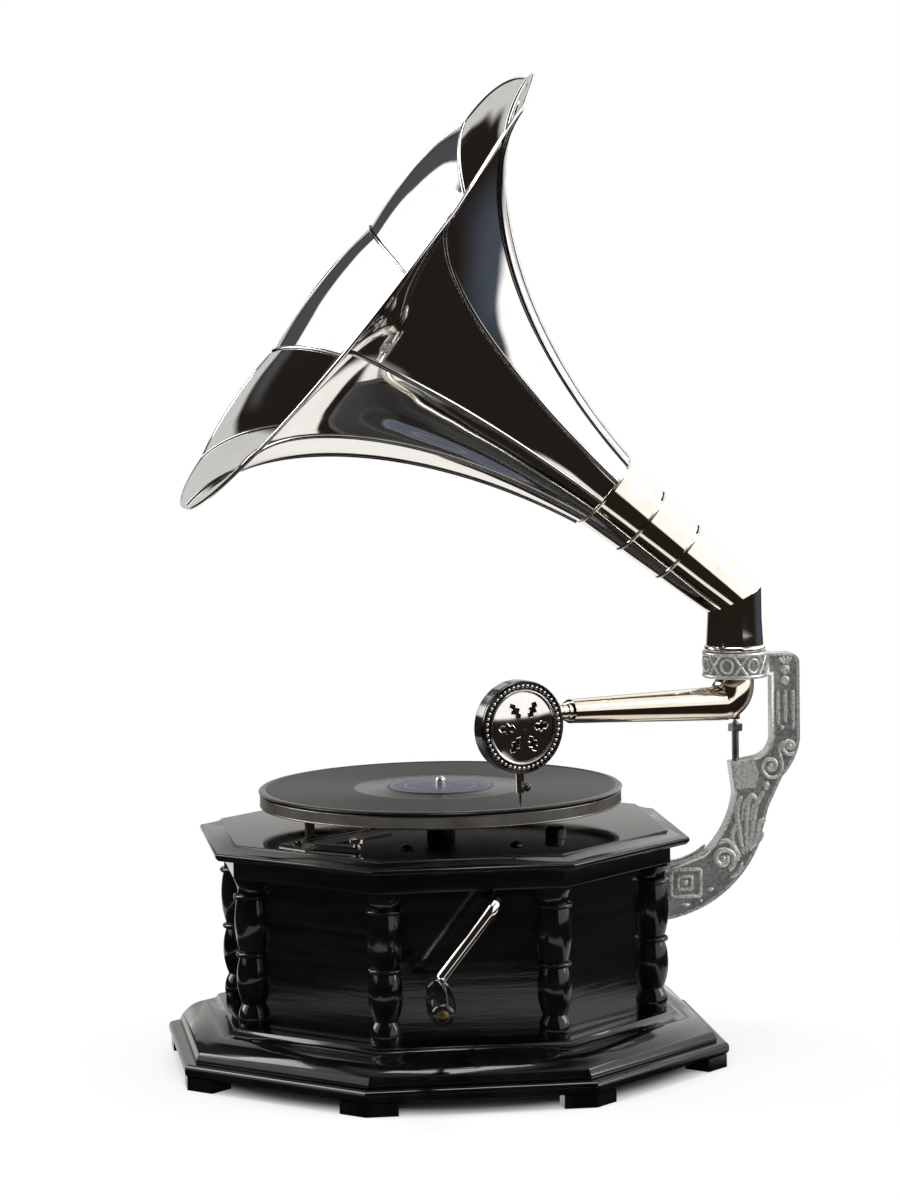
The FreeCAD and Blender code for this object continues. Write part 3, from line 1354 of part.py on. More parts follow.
def tonearm():
    """Tapered tube with a swept elbow, and the bearing sleeve on its neck."""
    origin, along, side = arm_frame()
    bend = float(S.tonearm_bend_radius)
    level = float(tonearm_level)
    neck_top = ring_top - S.spigot_depth + S.sleeve_height + 2
    stations = [(0.0, float(neck_top), 0.0, S.tonearm_neck_radius),
                (0.0, level + bend + (neck_top - level - bend) * 0.5, 0.0, S.tonearm_neck_radius),
                (0.0, level + bend, 0.0, S.tonearm_neck_radius)]
    for degrees in (11.25, 22.5, 33.75, 45.0, 56.25, 67.5, 78.75):
        turn = math.radians(degrees)
        share = degrees / 90
        stations.append((bend - bend * math.cos(turn), level + bend - bend * math.sin(turn), degrees,
                         S.tonearm_neck_radius + (S.tonearm_elbow_radius - S.tonearm_neck_radius) * share))
    tilt = math.degrees(math.atan(S.tonearm_rise))
    for share in (0.0, 1.0):
        reach = bend + (S.tonearm_length - bend) * share
        stations.append((float(reach), float(arm_axis_level(reach)), 90 + tilt,
                         S.tonearm_elbow_radius + (S.tonearm_end_radius - S.tonearm_elbow_radius) * share))

    def skin(label, inset):
        rings = []
        for reach, height, degrees, radius in stations:
            turn = math.radians(degrees)
            way = along * math.sin(turn) + Vector(0, 0, -math.cos(turn))
            ring = doc.addObject("Part::Circle", label + "_ring")
            bind(ring, "Radius", radius - inset)
            ring.Placement = Placement(origin + along * reach + Vector(0, 0, height),
                                       Rotation(side, Vector(), way, "ZXY"))
            rings.append(ring)
        loft = doc.addObject("Part::Loft", label)
        loft.Sections = rings
        loft.Ruled = True
        loft.Solid = True
        return loft

    keep("tonearm_tube", cut("tonearm_tube", skin("tonearm_outside", 0),
                             [skin("tonearm_inside", S.tonearm_wall)]))
    sleeve_bottom = ring_top - S.spigot_depth
    inside = S.spigot_radius - S.horn_wall - S.running_clearance
    keep("tonearm_sleeve", turned("tonearm_sleeve", [
        (S.tonearm_neck_radius, sleeve_bottom), (inside, sleeve_bottom),
        (inside, sleeve_bottom + S.sleeve_height), (S.tonearm_neck_radius, sleeve_bottom + S.sleeve_height)],
        (S.bracket_reach, 0, 0)))


def head_frame():
    """Frame of the sound box: its face looks along +Z and the needle hangs along -Y."""
    origin, along, side = arm_frame()
    reach = math.sqrt(S.tonearm_reach ** 2 - S.head_offset ** 2)
    centre = origin + along * reach + side * float(S.head_offset) + Vector(0, 0, head_level)
    face = Rotation(Z_AXIS, -float(S.head_angle)).multVec(side)
    return Placement(centre, Rotation(Vector(), Z_AXIS, face, "ZYX"))


def crook_radius():
    return S.tonearm_end_radius - S.tonearm_wall - S.running_clearance


def crook():
    """Swivelling crook: a plug in the arm's end, then a bend to the back of the sound box."""
    origin, along, side = arm_frame()
    head = head_frame()
    back = head.multVec(Vector(0, 0, S.sound_box_back_wall - S.sound_box_back))
    face = head.Rotation.multVec(Z_AXIS)
    start_reach = S.tonearm_length - S.crook_plug_length

    def axis_point(reach):
        return origin + along * float(reach) + Vector(0, 0, arm_axis_level(reach))

    corner = back - face * ((back - origin).dot(side) / face.dot(side))
    plug = crook_radius()
    joint = axis_point(S.tonearm_length + 10)
    route = rounded_route([axis_point(start_reach), joint, corner, back], S.crook_bend_radius)
    tube = piped(route, plug)
    hollow = piped(route, plug - S.tonearm_wall * 1.3)
    axis = axis_point(S.tonearm_length + 1) - axis_point(S.tonearm_length)
    collar_start = axis_point(S.tonearm_length + S.seat_gap)
    first = Part.makeCylinder(S.tonearm_end_radius - 0.2, 3.4, collar_start, axis)
    second = Part.makeCylinder(S.tonearm_end_radius - 0.8, 2.2, axis_point(S.tonearm_length + 6), axis)
    keep("crook", shaped("crook", tube.fuse([first, second]).cut(hollow)))


def sound_box():
    """Back shell, bezel, pierced cover, diaphragm between gaskets, needle bar, screw and needle."""
    head = head_frame()
    back = -S.sound_box_back
    front = back + S.sound_box_depth
    outer = S.sound_box_radius
    inner = outer - S.sound_box_wall
    neck = S.tonearm_end_radius + 1.5
    pipe = crook_radius()
    shell = turned("sound_box_shell", [
        (pipe, back - 2), (neck, back - 2), (neck, back), (outer - 2, back),
        ((outer - 0.6, back + 0.6), (outer, back + 2)), (outer, front), (inner, front),
        (inner, back + S.sound_box_back_wall), (pipe, back + S.sound_box_back_wall)])
    slot = new_sketch(shell, "XZ_Plane", Size(float(inner + 1), (inner + 1).formula))
    bar_level = back + S.sound_box_depth * 0.72
    draw_circle(slot, (0, bar_level), S.needle_radius + 1.6)
    pad_cut = shell.newObject("PartDesign::Pocket", "sound_box_slot")
    pad_cut.Profile = slot
    bind(pad_cut, "Length", S.sound_box_wall * 4)
    pad_cut.Midplane = True
    keep("sound_box_shell", shell)

    hole = S.cover_radius + S.screw_clearance
    keep("sound_box_bezel", turned("sound_box_bezel", [
        (hole - 1.6, front), (outer, front), (outer, front + S.bezel_height - 1),
        ((outer - 0.3, front + S.bezel_height - 0.3), (outer - 1, front + S.bezel_height)),
        (hole, front + S.bezel_height), (hole, front + 0.8), (hole - 1.6, front + 0.8)]))

    rise = S.cover_rise
    seat = front + 0.8
    edge = S.cover_thickness
    inner_edge = S.cover_radius - 2
    cover = turned("sound_box_cover", [
        (inner_edge, seat), (S.cover_radius, seat), (S.cover_radius, seat + edge),
        dome(S.cover_radius, seat + edge, rise - edge), (0, seat + rise - edge),
        (dome(inner_edge, seat, rise - edge)[0], (inner_edge, seat))])
    leaf = new_sketch(cover, "XY_Plane")
    near, far = S.leaf_distance - S.leaf_length / 2, S.leaf_distance + S.leaf_length / 2
    draw(leaf, [(near, 0), ((S.leaf_distance, S.leaf_width / 2), (far, 0)),
                ((S.leaf_distance, -S.leaf_width / 2), (near, 0))])
    pierced = pocket(cover, leaf, S.sound_box_radius * 4)
    leaves = cover.newObject("PartDesign::PolarPattern", "cover_leaves")
    leaves.Originals = [pierced]
    leaves.Axis = (leaf, ["N_Axis"])
    leaves.Angle = 360
    leaves.Occurrences = 6
    cover.Tip = leaves
    keep("sound_box_cover", cover)

    ring = S.gasket_radius
    floor = back + S.sound_box_back_wall
    disc_bottom = floor + ring * 2
    disc_top = disc_bottom + S.diaphragm_thickness
    disc = inner - 1.5
    keep("diaphragm", turned("diaphragm", [
        (0, disc_bottom), (disc, disc_bottom), (disc, disc_top), (0, disc_top)]))
    seats = doc.addObject("Part::Compound", "diaphragm_gaskets")
    rings = []
    for level in (floor + ring, disc_top + ring):
        gasket = doc.addObject("Part::Torus", "gasket")
        bind(gasket, "Radius1", inner - ring - S.screw_clearance)
        bind(gasket, "Radius2", ring)
        rings.append(place(gasket, (0, 0, level)))
    seats.Links = rings
    keep("diaphragm_gaskets", seats)

    top = -(outer + S.seat_gap)
    bar = Part.makeCylinder(S.needle_radius, outer + 1, Vector(0, 0, bar_level), -Y_AXIS)
    chuck = Part.makeCylinder(S.chuck_radius, S.chuck_length, Vector(0, top, bar_level), -Y_AXIS)
    foot = Part.makeCylinder(S.needle_radius, bar_level - disc_top, Vector(0, 0, disc_top))
    neck_start = Vector(0, top + S.sound_box_wall + S.seat_gap, bar_level)
    neck_pin = Part.makeCylinder(S.needle_radius + 1.2, S.sound_box_wall + S.seat_gap * 2, neck_start,
                                 -Y_AXIS)
    bottom = top - S.chuck_length
    socket = Part.makeCylinder(S.needle_radius, 8, Vector(0, bottom + 8, bar_level), -Y_AXIS)
    screw_y = top - S.chuck_length * 0.65
    thread = Part.makeCylinder(S.thumb_screw_radius + S.running_clearance, S.chuck_radius * 3,
                               Vector(0, screw_y, bar_level), Z_AXIS)
    keep("needle_bar", shaped("needle_bar", chuck.fuse([bar, foot, neck_pin]).cut([socket, thread])))

    tip = record_top + S.needle_gap - head_level
    long = bottom + 8 - tip
    keep("needle", turned("needle", [
        (0, 0), (0.1, 0), (S.needle_radius, 5), (S.needle_radius, long), (0, long)]))

    start = bar_level + S.needle_radius + S.running_clearance
    stem = Part.makeCylinder(S.thumb_screw_radius, S.chuck_radius + 3, Vector(0, 0, 0), Z_AXIS)
    ball = Part.makeSphere(S.thumb_ball_radius, Vector(0, 0, S.chuck_radius + 3 + 1.5))
    keep("needle_screw", shaped("needle_screw", stem.fuse(ball)))

    doc.recompute()
    for label in ("sound_box_shell", "sound_box_bezel", "sound_box_cover", "diaphragm",
                  "diaphragm_gaskets", "needle_bar"):
        nodes[label].Placement = head
    nodes["needle"].Placement = head.multiply(Placement(Vector(0, tip, bar_level), ALONG_Y))
    nodes["needle_screw"].Placement = head.multiply(Placement(Vector(0, screw_y, start), UPRIGHT))


def horn_frame():
    """The horn's own frame: origin on the mitre, +Z up the throat, +X to the upper side."""
    return Placement(Vector(S.bracket_reach, 0, mitre_level), Rotation(Y_AXIS, -float(S.horn_bend_angle)))


def mitre_half(upper):
    """Everything above, or below, the plane that halves the bend."""
    size = 600
    block = Part.makeBox(size, size, size, Vector(-size / 2, -size / 2, 0 if upper else -size))
    block.Placement = Placement(Vector(S.bracket_reach, 0, mitre_level),
                                Rotation(Y_AXIS, -float(S.horn_bend_angle) / 2))
    return block


def bell_point(degrees, offset=0.0):
    """Point of the petal's section: a straight cone that turns into a quarter-round flare."""
    turn = math.radians(degrees)
    throat = S.throat_upper_radius + S.throat_step
    end = S.rim_radius - S.rim_bead_radius * 2
    flare = end - throat - S.bell_cone_rise
    rise = S.bell_length * math.sin(turn)
    radius = throat + S.bell_cone_rise * math.sin(turn) + flare * (1 - math.cos(turn))
    along = float(S.bell_length) * math.cos(turn)
    out = float(S.bell_cone_rise) * math.cos(turn) + float(flare) * math.sin(turn)
    size = math.hypot(along, out)
    return Vector(float(radius) + offset * along / size, 0,
                  float(S.throat_upper_end + rise) - offset * out / size)


BELL_STEPS = 10


def bell_curve(offset):
    curve = Part.BSplineCurve()
    curve.interpolate([bell_point(90.0 * step / BELL_STEPS, offset) for step in range(BELL_STEPS + 1)])
    return curve.toShape()


def bell_strip(inner, outer):
    """Flat strip along the petal's section, between two offsets from its inner face."""
    low, high = bell_curve(inner), bell_curve(outer)
    first = Part.makeLine(low.Vertexes[0].Point, high.Vertexes[0].Point)
    last = Part.makeLine(low.Vertexes[-1].Point, high.Vertexes[-1].Point)
    return Part.Face(Part.Wire([low, last, high, first]))


def throat_tube(start, start_radius, end, end_radius):
    """Slightly tapered tube with a rolled bead at its upper end."""
    wall = S.horn_wall
    step = S.throat_step
    outline = [(start_radius - wall, start), (start_radius, start), (end_radius, end - step * 2),
               (end_radius + step, end - step * 1.5), (end_radius + step, end), (end_radius - wall, end)]
    points = [Vector(float(radius), 0, float(level)) for radius, level in outline]
    return Part.Face(Part.makePolygon(points + points[:1])).revolve(Vector(), Z_AXIS, 360)


def horn():
    """Elbow, three throat sections, ten petals, the folded seams between them and the wired rim."""
    frame = horn_frame()
    wall = S.horn_wall
    foot = ring_top + S.seat_gap
    tube = turned("horn_elbow_tube", [
        (S.spigot_radius - wall, spigot_bottom), (S.spigot_radius, spigot_bottom),
        (S.spigot_radius, foot), (S.elbow_bead_radius, foot),
        (S.elbow_bead_radius, foot + S.elbow_bead_height), (S.elbow_radius, foot + S.elbow_bead_height),
        (S.elbow_top_radius, mitre_level), (S.elbow_top_radius, mitre_level + S.elbow_radius),
        (S.elbow_top_radius - wall, mitre_level + S.elbow_radius),
        (S.spigot_radius - wall, mitre_level - S.elbow_radius)], (S.bracket_reach, 0, 0))
    doc.recompute()
    keep("horn_elbow", shaped("horn_elbow", tube.Shape.common(mitre_half(False))))

    lower = throat_tube(-S.elbow_radius, S.elbow_top_radius, S.throat_lower_end, S.throat_lower_radius)
    lower.Placement = frame
    sections = [lower.common(mitre_half(True))]
    for start, start_radius, end, end_radius in (
            (S.throat_lower_end, S.throat_lower_radius, S.throat_middle_end, S.throat_middle_radius),
            (S.throat_middle_end, S.throat_middle_radius, S.throat_upper_end, S.throat_upper_radius)):
        section = throat_tube(start, start_radius, end, end_radius)
        section.Placement = frame
        sections.append(section)
    keep("horn_throat", shaped("horn_throat", Part.makeCompound(sections)))

    sector = 360.0 / PETALS
    petal = bell_strip(0.0, -float(S.petal_wall)).revolve(Vector(), Z_AXIS, sector)
    keep("horn_petals", shaped("horn_petals", Part.makeCompound(
        [at_place(petal, turn) for turn in around(PETALS, sector)]), frame))

    lift = 0.1
    half = float(S.seam_width) / 2
    rib = bell_strip(lift, lift + float(S.seam_height))
    rib.translate(Vector(0, -half, 0))
    rib = rib.extrude(Vector(0, half * 2, 0))
    keep("horn_seams", shaped("horn_seams", Part.makeCompound(
        [at_place(rib, turn) for turn in around(PETALS, sector)]), frame))

    rim = doc.addObject("Part::Torus", "horn_rim")
    bind(rim, "Radius1", S.rim_radius - S.rim_bead_radius)
    bind(rim, "Radius2", S.rim_bead_radius)
    rim.Placement = frame.multiply(Placement(
        Vector(0, 0, S.throat_upper_end + S.bell_length + S.petal_wall / 2), UPRIGHT))
    keep("horn_rim", rim)


cabinet()
motor_frame()
spring_motor()
governor()
crank()
turntable()
brake()
bracket()
tonearm()
crook()
sound_box()
horn()
doc.recompute()

for thing in doc.Objects:
    failed = [state for state in thing.State if state in ("Invalid", "Error")]
    if failed:
        raise RuntimeError("%s failed: %s" % (thing.Label, thing.State))
for label, piece in nodes.items():
    if piece.Shape.isNull() or not piece.Shape.isValid() or not piece.Shape.Solids:
        raise RuntimeError("%s has no sound solid" % label)

os.makedirs("parts", exist_ok=True)
for label, piece in nodes.items():
    piece.Shape.exportStep("parts/%s.step" % label)
print("%d nodes, %d solids" % (len(nodes), sum(len(piece.Shape.Solids) for piece in nodes.values())))
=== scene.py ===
import json
import math

import bmesh
import bpy
from mathutils import Matrix, Vector, geometry, noise


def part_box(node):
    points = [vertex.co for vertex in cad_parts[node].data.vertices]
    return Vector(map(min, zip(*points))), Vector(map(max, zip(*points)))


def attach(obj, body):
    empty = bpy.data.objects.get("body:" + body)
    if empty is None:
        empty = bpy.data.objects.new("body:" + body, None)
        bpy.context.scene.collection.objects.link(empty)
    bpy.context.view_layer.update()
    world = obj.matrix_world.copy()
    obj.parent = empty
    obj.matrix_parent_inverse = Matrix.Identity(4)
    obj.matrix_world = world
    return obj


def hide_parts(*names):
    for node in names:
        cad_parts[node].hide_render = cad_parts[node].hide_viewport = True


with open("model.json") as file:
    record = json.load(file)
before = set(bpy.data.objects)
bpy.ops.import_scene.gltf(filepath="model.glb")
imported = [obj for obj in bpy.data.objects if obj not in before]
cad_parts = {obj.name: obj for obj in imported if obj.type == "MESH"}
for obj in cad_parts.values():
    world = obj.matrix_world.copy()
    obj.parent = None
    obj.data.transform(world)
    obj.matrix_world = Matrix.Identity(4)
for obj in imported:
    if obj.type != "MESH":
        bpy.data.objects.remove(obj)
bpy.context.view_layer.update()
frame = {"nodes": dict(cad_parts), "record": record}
scene = bpy.context.scene
scene.view_settings.view_transform = "Standard"

# Camera. A long lens a little above the table and to the left of the crank side, as the photograph was
# taken; the picture is 900 by 1200.
PICTURE_HEIGHT = 1200
FOCAL_PIXELS = 4235.67
SENSOR = 24.0
camera_azimuth = math.radians(-7.61)
camera_elevation = math.radians(5.71)
camera_roll = math.radians(-0.88)
look_at = Vector((0.00881, 0.0, 0.32154))
camera_distance = 2.9463
back = Vector((math.sin(camera_azimuth) * math.cos(camera_elevation),
               -math.cos(camera_azimuth) * math.cos(camera_elevation), math.sin(camera_elevation)))
level_right = Vector((0, 0, 1)).cross(back).normalized()
level_up = back.cross(level_right)
right = level_right * math.cos(camera_roll) + level_up * math.sin(camera_roll)
up = level_up * math.cos(camera_roll) - level_right * math.sin(camera_roll)
camera_data = bpy.data.cameras.new("camera")
camera_data.sensor_fit = "VERTICAL"
camera_data.sensor_height = SENSOR
camera_data.lens = FOCAL_PIXELS * SENSOR / PICTURE_HEIGHT
camera_data.clip_end = 50
camera = bpy.data.objects.new("camera", camera_data)
camera.matrix_world = Matrix.Translation(look_at + back * camera_distance) @ Matrix(
    (right, up, back)).transposed().to_4x4()
scene.collection.objects.link(camera)
scene.camera = camera


# Studio. White paper behind the object and under it, tall white walls at both sides, a pale ceiling, and a
# dim room behind the camera, which the plated metal mirrors.
def feed(tree, node, inputs):
    """Gives each input named a link where a socket is given, or else a value."""
    for name, value in inputs.items():
        if isinstance(value, bpy.types.NodeSocket):
            tree.links.new(value, node.inputs[name])
        else:
            node.inputs[name].default_value = value


def add(tree, kind, inputs=None, **settings):
    node = tree.nodes.new(kind)
    for name, setting in settings.items():
        setattr(node, name, setting)
    feed(tree, node, inputs or {})
    return node


def ramp(tree, value, low, high):
    """0 at low, 1 at high, with a soft step between; low may be the larger."""
    return add(tree, "ShaderNodeMapRange", {"Value": value, "From Min": low, "From Max": high},
               interpolation_type="SMOOTHSTEP").outputs["Result"]


def sum_up(tree, operation, *values):
    total = values[0]
    for value in values[1:]:
        total = add(tree, "ShaderNodeMath", {0: total, 1: value}, operation=operation).outputs[0]
    return total


def region(tree, azimuth, height, sides, levels):
    """A soft-edged patch of the room: each edge is a pair of degrees, outside first."""
    edges = [ramp(tree, value, math.radians(out), math.radians(within))
             for value, pairs in ((azimuth, sides), (height, levels)) for out, within in pairs]
    return sum_up(tree, "MULTIPLY", *edges)


def lay_over(tree, under, mask, colour):
    return add(tree, "ShaderNodeMix", {"Factor": mask, "A": under, "B": colour},
               data_type="RGBA").outputs["Result"]


def either(tree, mask, first, second):
    """The first shader where the mask is 0, the second where it is 1."""
    return add(tree, "ShaderNodeMixShader", {0: mask, 1: first.outputs[0], 2: second.outputs[0]})


WHITE = (1, 1, 1, 1)
DIM_ROOM = (0.017, 0.0125, 0.010, 1)
WHITE_WALL = (1.15, 1.15, 1.15, 1)
BLUE_SHADE = (0.062, 0.075, 0.098, 1)
SLATE = (0.072, 0.074, 0.080, 1)
PALE_BACK = (0.62, 0.61, 0.59, 1)
PALE_CEILING = (0.42, 0.41, 0.39, 1)
ROOM_LIGHT = 0.45
CORNER_SLOPE = 0.76
CORNER_START = math.radians(147.5)
CORNER_SOFT = 0.03
BEHIND_DEPTH = (0.93, 0.955)
BEHIND_LOW = (-0.8, -0.5)
BEHIND_HIGH = (0.78, 0.66)
CEILING_EDGE = (64, 70)
PATCHES = (
    ("blue_shade", BLUE_SHADE, [(72, 108), (158, 128)], [(-17, -2)]),
    ("right_wall", WHITE_WALL, [(20, 28), (170, 164)], [(-1.5, 1.5), (62, 50)]),
    ("slate", SLATE, [(-128, -134), (-158, -150)], [(12, 15), (44, 36)]),
    ("left_wall", WHITE_WALL, [(-66, -76), (-137.4, -135.4)], [(9, 12), (66, 62)]),
    ("pale_corner", PALE_BACK, [(-154, -158)], [(9, 12), (31, 26)]),
    ("pale_rear", PALE_BACK, [(-163, -167)], [(2, 8), (42, 36)]),
)
world = bpy.data.worlds.new("studio")
scene.world = world
world.use_nodes = True
tree = world.node_tree
tree.nodes.clear()
direction = add(tree, "ShaderNodeTexCoord")
parts = add(tree, "ShaderNodeSeparateXYZ", {0: direction.outputs["Generated"]})
toward = sum_up(tree, "MULTIPLY", parts.outputs["Y"], -1.0)
azimuth = sum_up(tree, "ARCTAN2", parts.outputs["X"], toward)
height = add(tree, "ShaderNodeMath", {0: parts.outputs["Z"]}, operation="ARCSINE").outputs[0]
rise = sum_up(tree, "MULTIPLY", azimuth, -CORNER_SLOPE)
corner = ramp(tree, sum_up(tree, "ADD", height, rise), CORNER_START + CORNER_SOFT, CORNER_START - CORNER_SOFT)
room = add(tree, "ShaderNodeRGB")
room.outputs[0].default_value = DIM_ROOM
view = room.outputs[0]
for name, colour, sides, levels in PATCHES:
    mask = region(tree, azimuth, height, sides, levels)
    if name == "left_wall":
        mask = sum_up(tree, "MULTIPLY", mask, corner)
    view = lay_over(tree, view, mask, colour)
behind = sum_up(tree, "MULTIPLY", ramp(tree, parts.outputs["Y"], *BEHIND_DEPTH),
                ramp(tree, height, *BEHIND_LOW), ramp(tree, height, *BEHIND_HIGH))
view = lay_over(tree, view, behind, PALE_BACK)
view = lay_over(tree, view, region(tree, azimuth, height, [], [CEILING_EDGE]), PALE_CEILING)
path = add(tree, "ShaderNodeLightPath")
mirrored = add(tree, "ShaderNodeBackground", {"Color": view})
lit = add(tree, "ShaderNodeBackground", {"Color": WHITE, "Strength": ROOM_LIGHT})
white = add(tree, "ShaderNodeBackground", {"Color": WHITE})
glossy = sum_up(tree, "MAXIMUM", path.outputs["Is Glossy Ray"], path.outputs["Is Transmission Ray"])
seen = either(tree, path.outputs["Is Camera Ray"], either(tree, glossy, lit, mirrored), white)
add(tree, "ShaderNodeOutputWorld", {"Surface": seen.outputs[0]})

FLOOR_HALF = 3.0
PAPER_WHITE = (0.9, 0.9, 0.9, 1)
PAPER_WARM = (0.80, 0.75, 0.68, 1)
PAPER_GLOW = 0.74
MIRROR_GLOW = 0.6
PAPER_NEAR = 0.50
PAPER_FAR = 0.62
SHEET_LEFT = -0.42
SHEET_RIGHT = 0.40
SHEET_FRONT = -0.52
SHEET_BACK = 2.0
SHEET_SOFT = 0.03
CUT_RIGHT = 0.30
CUT_BACK = -0.16
SHADE_NEAR = 0.385
SHADE_FAR = 0.415
OPEN_LEFT = 0.215
OPEN_BACK = 0.15
UNDER_NEAR = 0.165
UNDER_FAR = 0.21


def past(tree, value, edge, way):
    """1 beyond a soft edge of the sheet on the floor, upwards (way 1) or downwards (way -1)."""
    return ramp(tree, value, edge - way * SHEET_SOFT, edge + way * SHEET_SOFT)


floor_mesh = bpy.data.meshes.new("floor")
floor_mesh.from_pydata([(-FLOOR_HALF, -FLOOR_HALF, 0), (FLOOR_HALF, -FLOOR_HALF, 0),
                        (FLOOR_HALF, FLOOR_HALF, 0), (-FLOOR_HALF, FLOOR_HALF, 0)], [], [(0, 1, 2, 3)])
floor = bpy.data.objects.new("floor", floor_mesh)
scene.collection.objects.link(floor)
floor_paper = bpy.data.materials.new("floor_paper")
floor_paper.use_nodes = True
tree = floor_paper.node_tree
tree.nodes.clear()
path = add(tree, "ShaderNodeLightPath")
for_eye = path.outputs["Is Camera Ray"]
for_metal = path.outputs["Is Glossy Ray"]
place = add(tree, "ShaderNodeTexCoord").outputs["Object"]
distance = add(tree, "ShaderNodeVectorMath", {0: place}, operation="LENGTH").outputs["Value"]
sheet_spot = add(tree, "ShaderNodeSeparateXYZ", {0: place})
across = sheet_spot.outputs["X"]
deep = sheet_spot.outputs["Y"]
matt = add(tree, "ShaderNodeBsdfDiffuse", {"Color": PAPER_WHITE})
glow = add(tree, "ShaderNodeEmission")
warm_glow = add(tree, "ShaderNodeEmission", {"Color": PAPER_WARM})
clear_of_foot = ramp(tree, distance, UNDER_NEAR, UNDER_FAR)
paper = either(tree, sum_up(tree, "MULTIPLY", for_eye, clear_of_foot, PAPER_GLOW), matt, glow)
mirrored_paper = either(tree, sum_up(tree, "MULTIPLY", for_metal, MIRROR_GLOW), paper, warm_glow)
cut_off = sum_up(tree, "MULTIPLY", past(tree, across, CUT_RIGHT, 1), past(tree, deep, CUT_BACK, -1))
off_sheet = sum_up(tree, "MAXIMUM", cut_off, past(tree, across, SHEET_LEFT, -1),
                   past(tree, across, SHEET_RIGHT, 1), past(tree, deep, SHEET_FRONT, -1),
                   past(tree, deep, SHEET_BACK, 1))
closed = sum_up(tree, "MAXIMUM", past(tree, across, OPEN_LEFT, -1), past(tree, deep, OPEN_BACK, 1))
in_shade = sum_up(tree, "MULTIPLY", ramp(tree, distance, SHADE_FAR, SHADE_NEAR), closed)
unlit = sum_up(tree, "MULTIPLY", sum_up(tree, "MAXIMUM", off_sheet, in_shade), for_metal)
faded = sum_up(tree, "MULTIPLY", ramp(tree, distance, PAPER_NEAR, PAPER_FAR), for_eye)
clear = add(tree, "ShaderNodeBsdfTransparent")
blend = either(tree, sum_up(tree, "MAXIMUM", faded, unlit), mirrored_paper, clear)
add(tree, "ShaderNodeOutputMaterial", {"Surface": blend.outputs[0]})
floor_mesh.materials.append(floor_paper)

LAMP_AIM = Vector((0, 0, 0.3))


def soft_box(name, place, width, height, watts, mirrored):
    data = bpy.data.lights.new(name, "AREA")
    data.shape = "RECTANGLE"
    data.size = width
    data.size_y = height
    data.energy = watts
    lamp = bpy.data.objects.new(name, data)
    lamp.location = place
    lamp.rotation_euler = (LAMP_AIM - Vector(place)).to_track_quat("-Z", "Y").to_euler()
    lamp.visible_glossy = mirrored
    scene.collection.objects.link(lamp)


soft_box("left_box", (-2.2, 0.9, 1.7), 1.3, 2.2, 50, True)
soft_box("right_box", (2.4, -0.2, 1.25), 1.2, 1.3, 24, True)
soft_box("top_box", (0.1, -0.1, 2.5), 1.3, 1.0, 30, True)
soft_box("front_box", (-0.9, -2.7, 1.3), 1.2, 1.2, 16, False)

# Base. Eight block feet under an octagonal board with a rounded edge, and on it a mitred moulding, all
# hardwood, glued up and brushed with black gloss lacquer that leaves grain and brush marks showing.
MM = 0.001
SIDES = 8
EIGHTH = math.radians(22.5)
ON_AXIS = 1e-9
SLIGHT_TURN = math.radians(25)
EASE_SHARE = 0.45


def effect(name, inputs, outputs):
    """A new shader node group with its sockets; gives the group and what comes in."""
    group = bpy.data.node_groups.new(name, "ShaderNodeTree")
    for way, sockets in (("INPUT", inputs), ("OUTPUT", outputs)):
        for label, kind in sockets.items():
            group.interface.new_socket(label, in_out=way, socket_type="NodeSocket" + kind)
    return group, add(group, "NodeGroupInput").outputs


def bump(tree, height, strength, distance):
    return add(tree, "ShaderNodeBump", {"Height": height, "Strength": strength,
                                        "Distance": distance}).outputs["Normal"]


def tint(tree, height, low_colour, high_colour, low=0.35, high=0.7):
    node = add(tree, "ShaderNodeValToRGB", {"Fac": height})
    for element, position, colour in zip(node.color_ramp.elements, (low, high), (low_colour, high_colour)):
        element.position = position
        element.color = colour
    return node.outputs["Color"]


def cloud(tree, spot, scale, detail, roughness=0.5):
    return add(tree, "ShaderNodeTexNoise", {"Vector": spot, "Scale": scale, "Detail": detail,
                                            "Roughness": roughness}).outputs["Fac"]


# Blotchy wear: a roughness between two limits and a matching height, at a given scale.
surface_haze, entry = effect("surface_haze", {"Vector": "Vector", "Scale": "Float", "Smooth": "Float",
                                              "Rough": "Float"}, {"Roughness": "Float", "Height": "Float"})
blotches = cloud(surface_haze, entry["Vector"], entry["Scale"], 5, 0.6)
limits = add(surface_haze, "ShaderNodeMapRange", {"Value": blotches, "From Min": 0.3, "From Max": 0.7,
                                                  "To Min": entry["Smooth"], "To Max": entry["Rough"]})
add(surface_haze, "NodeGroupOutput", {"Roughness": limits.outputs["Result"], "Height": blotches})

# Open grain under black lacquer, drawn out along each axis by its stretch.
LACQUER_DARK = (0.0016, 0.0016, 0.0017, 1)
LACQUER_PALE = (0.0060, 0.0058, 0.0058, 1)
GRAIN_DEPTH = 0.0012
LACQUER_SCALE = 26.0
LACQUER_SMOOTH = 0.05
LACQUER_ROUGH = 0.14
lacquer_grain, entry = effect("lacquer_grain", {"Vector": "Vector", "Stretch": "Vector", "Strength": "Float"},
                              {"Color": "Color", "Normal": "Vector"})
drawn_out = add(lacquer_grain, "ShaderNodeMapping", {"Vector": entry["Vector"], "Scale": entry["Stretch"]})
fibres = cloud(lacquer_grain, drawn_out.outputs["Vector"], 1.0, 6, 0.62)
add(lacquer_grain, "NodeGroupOutput", {"Color": tint(lacquer_grain, fibres, LACQUER_DARK, LACQUER_PALE),
                                       "Normal": bump(lacquer_grain, fibres, entry["Strength"], GRAIN_DEPTH)})


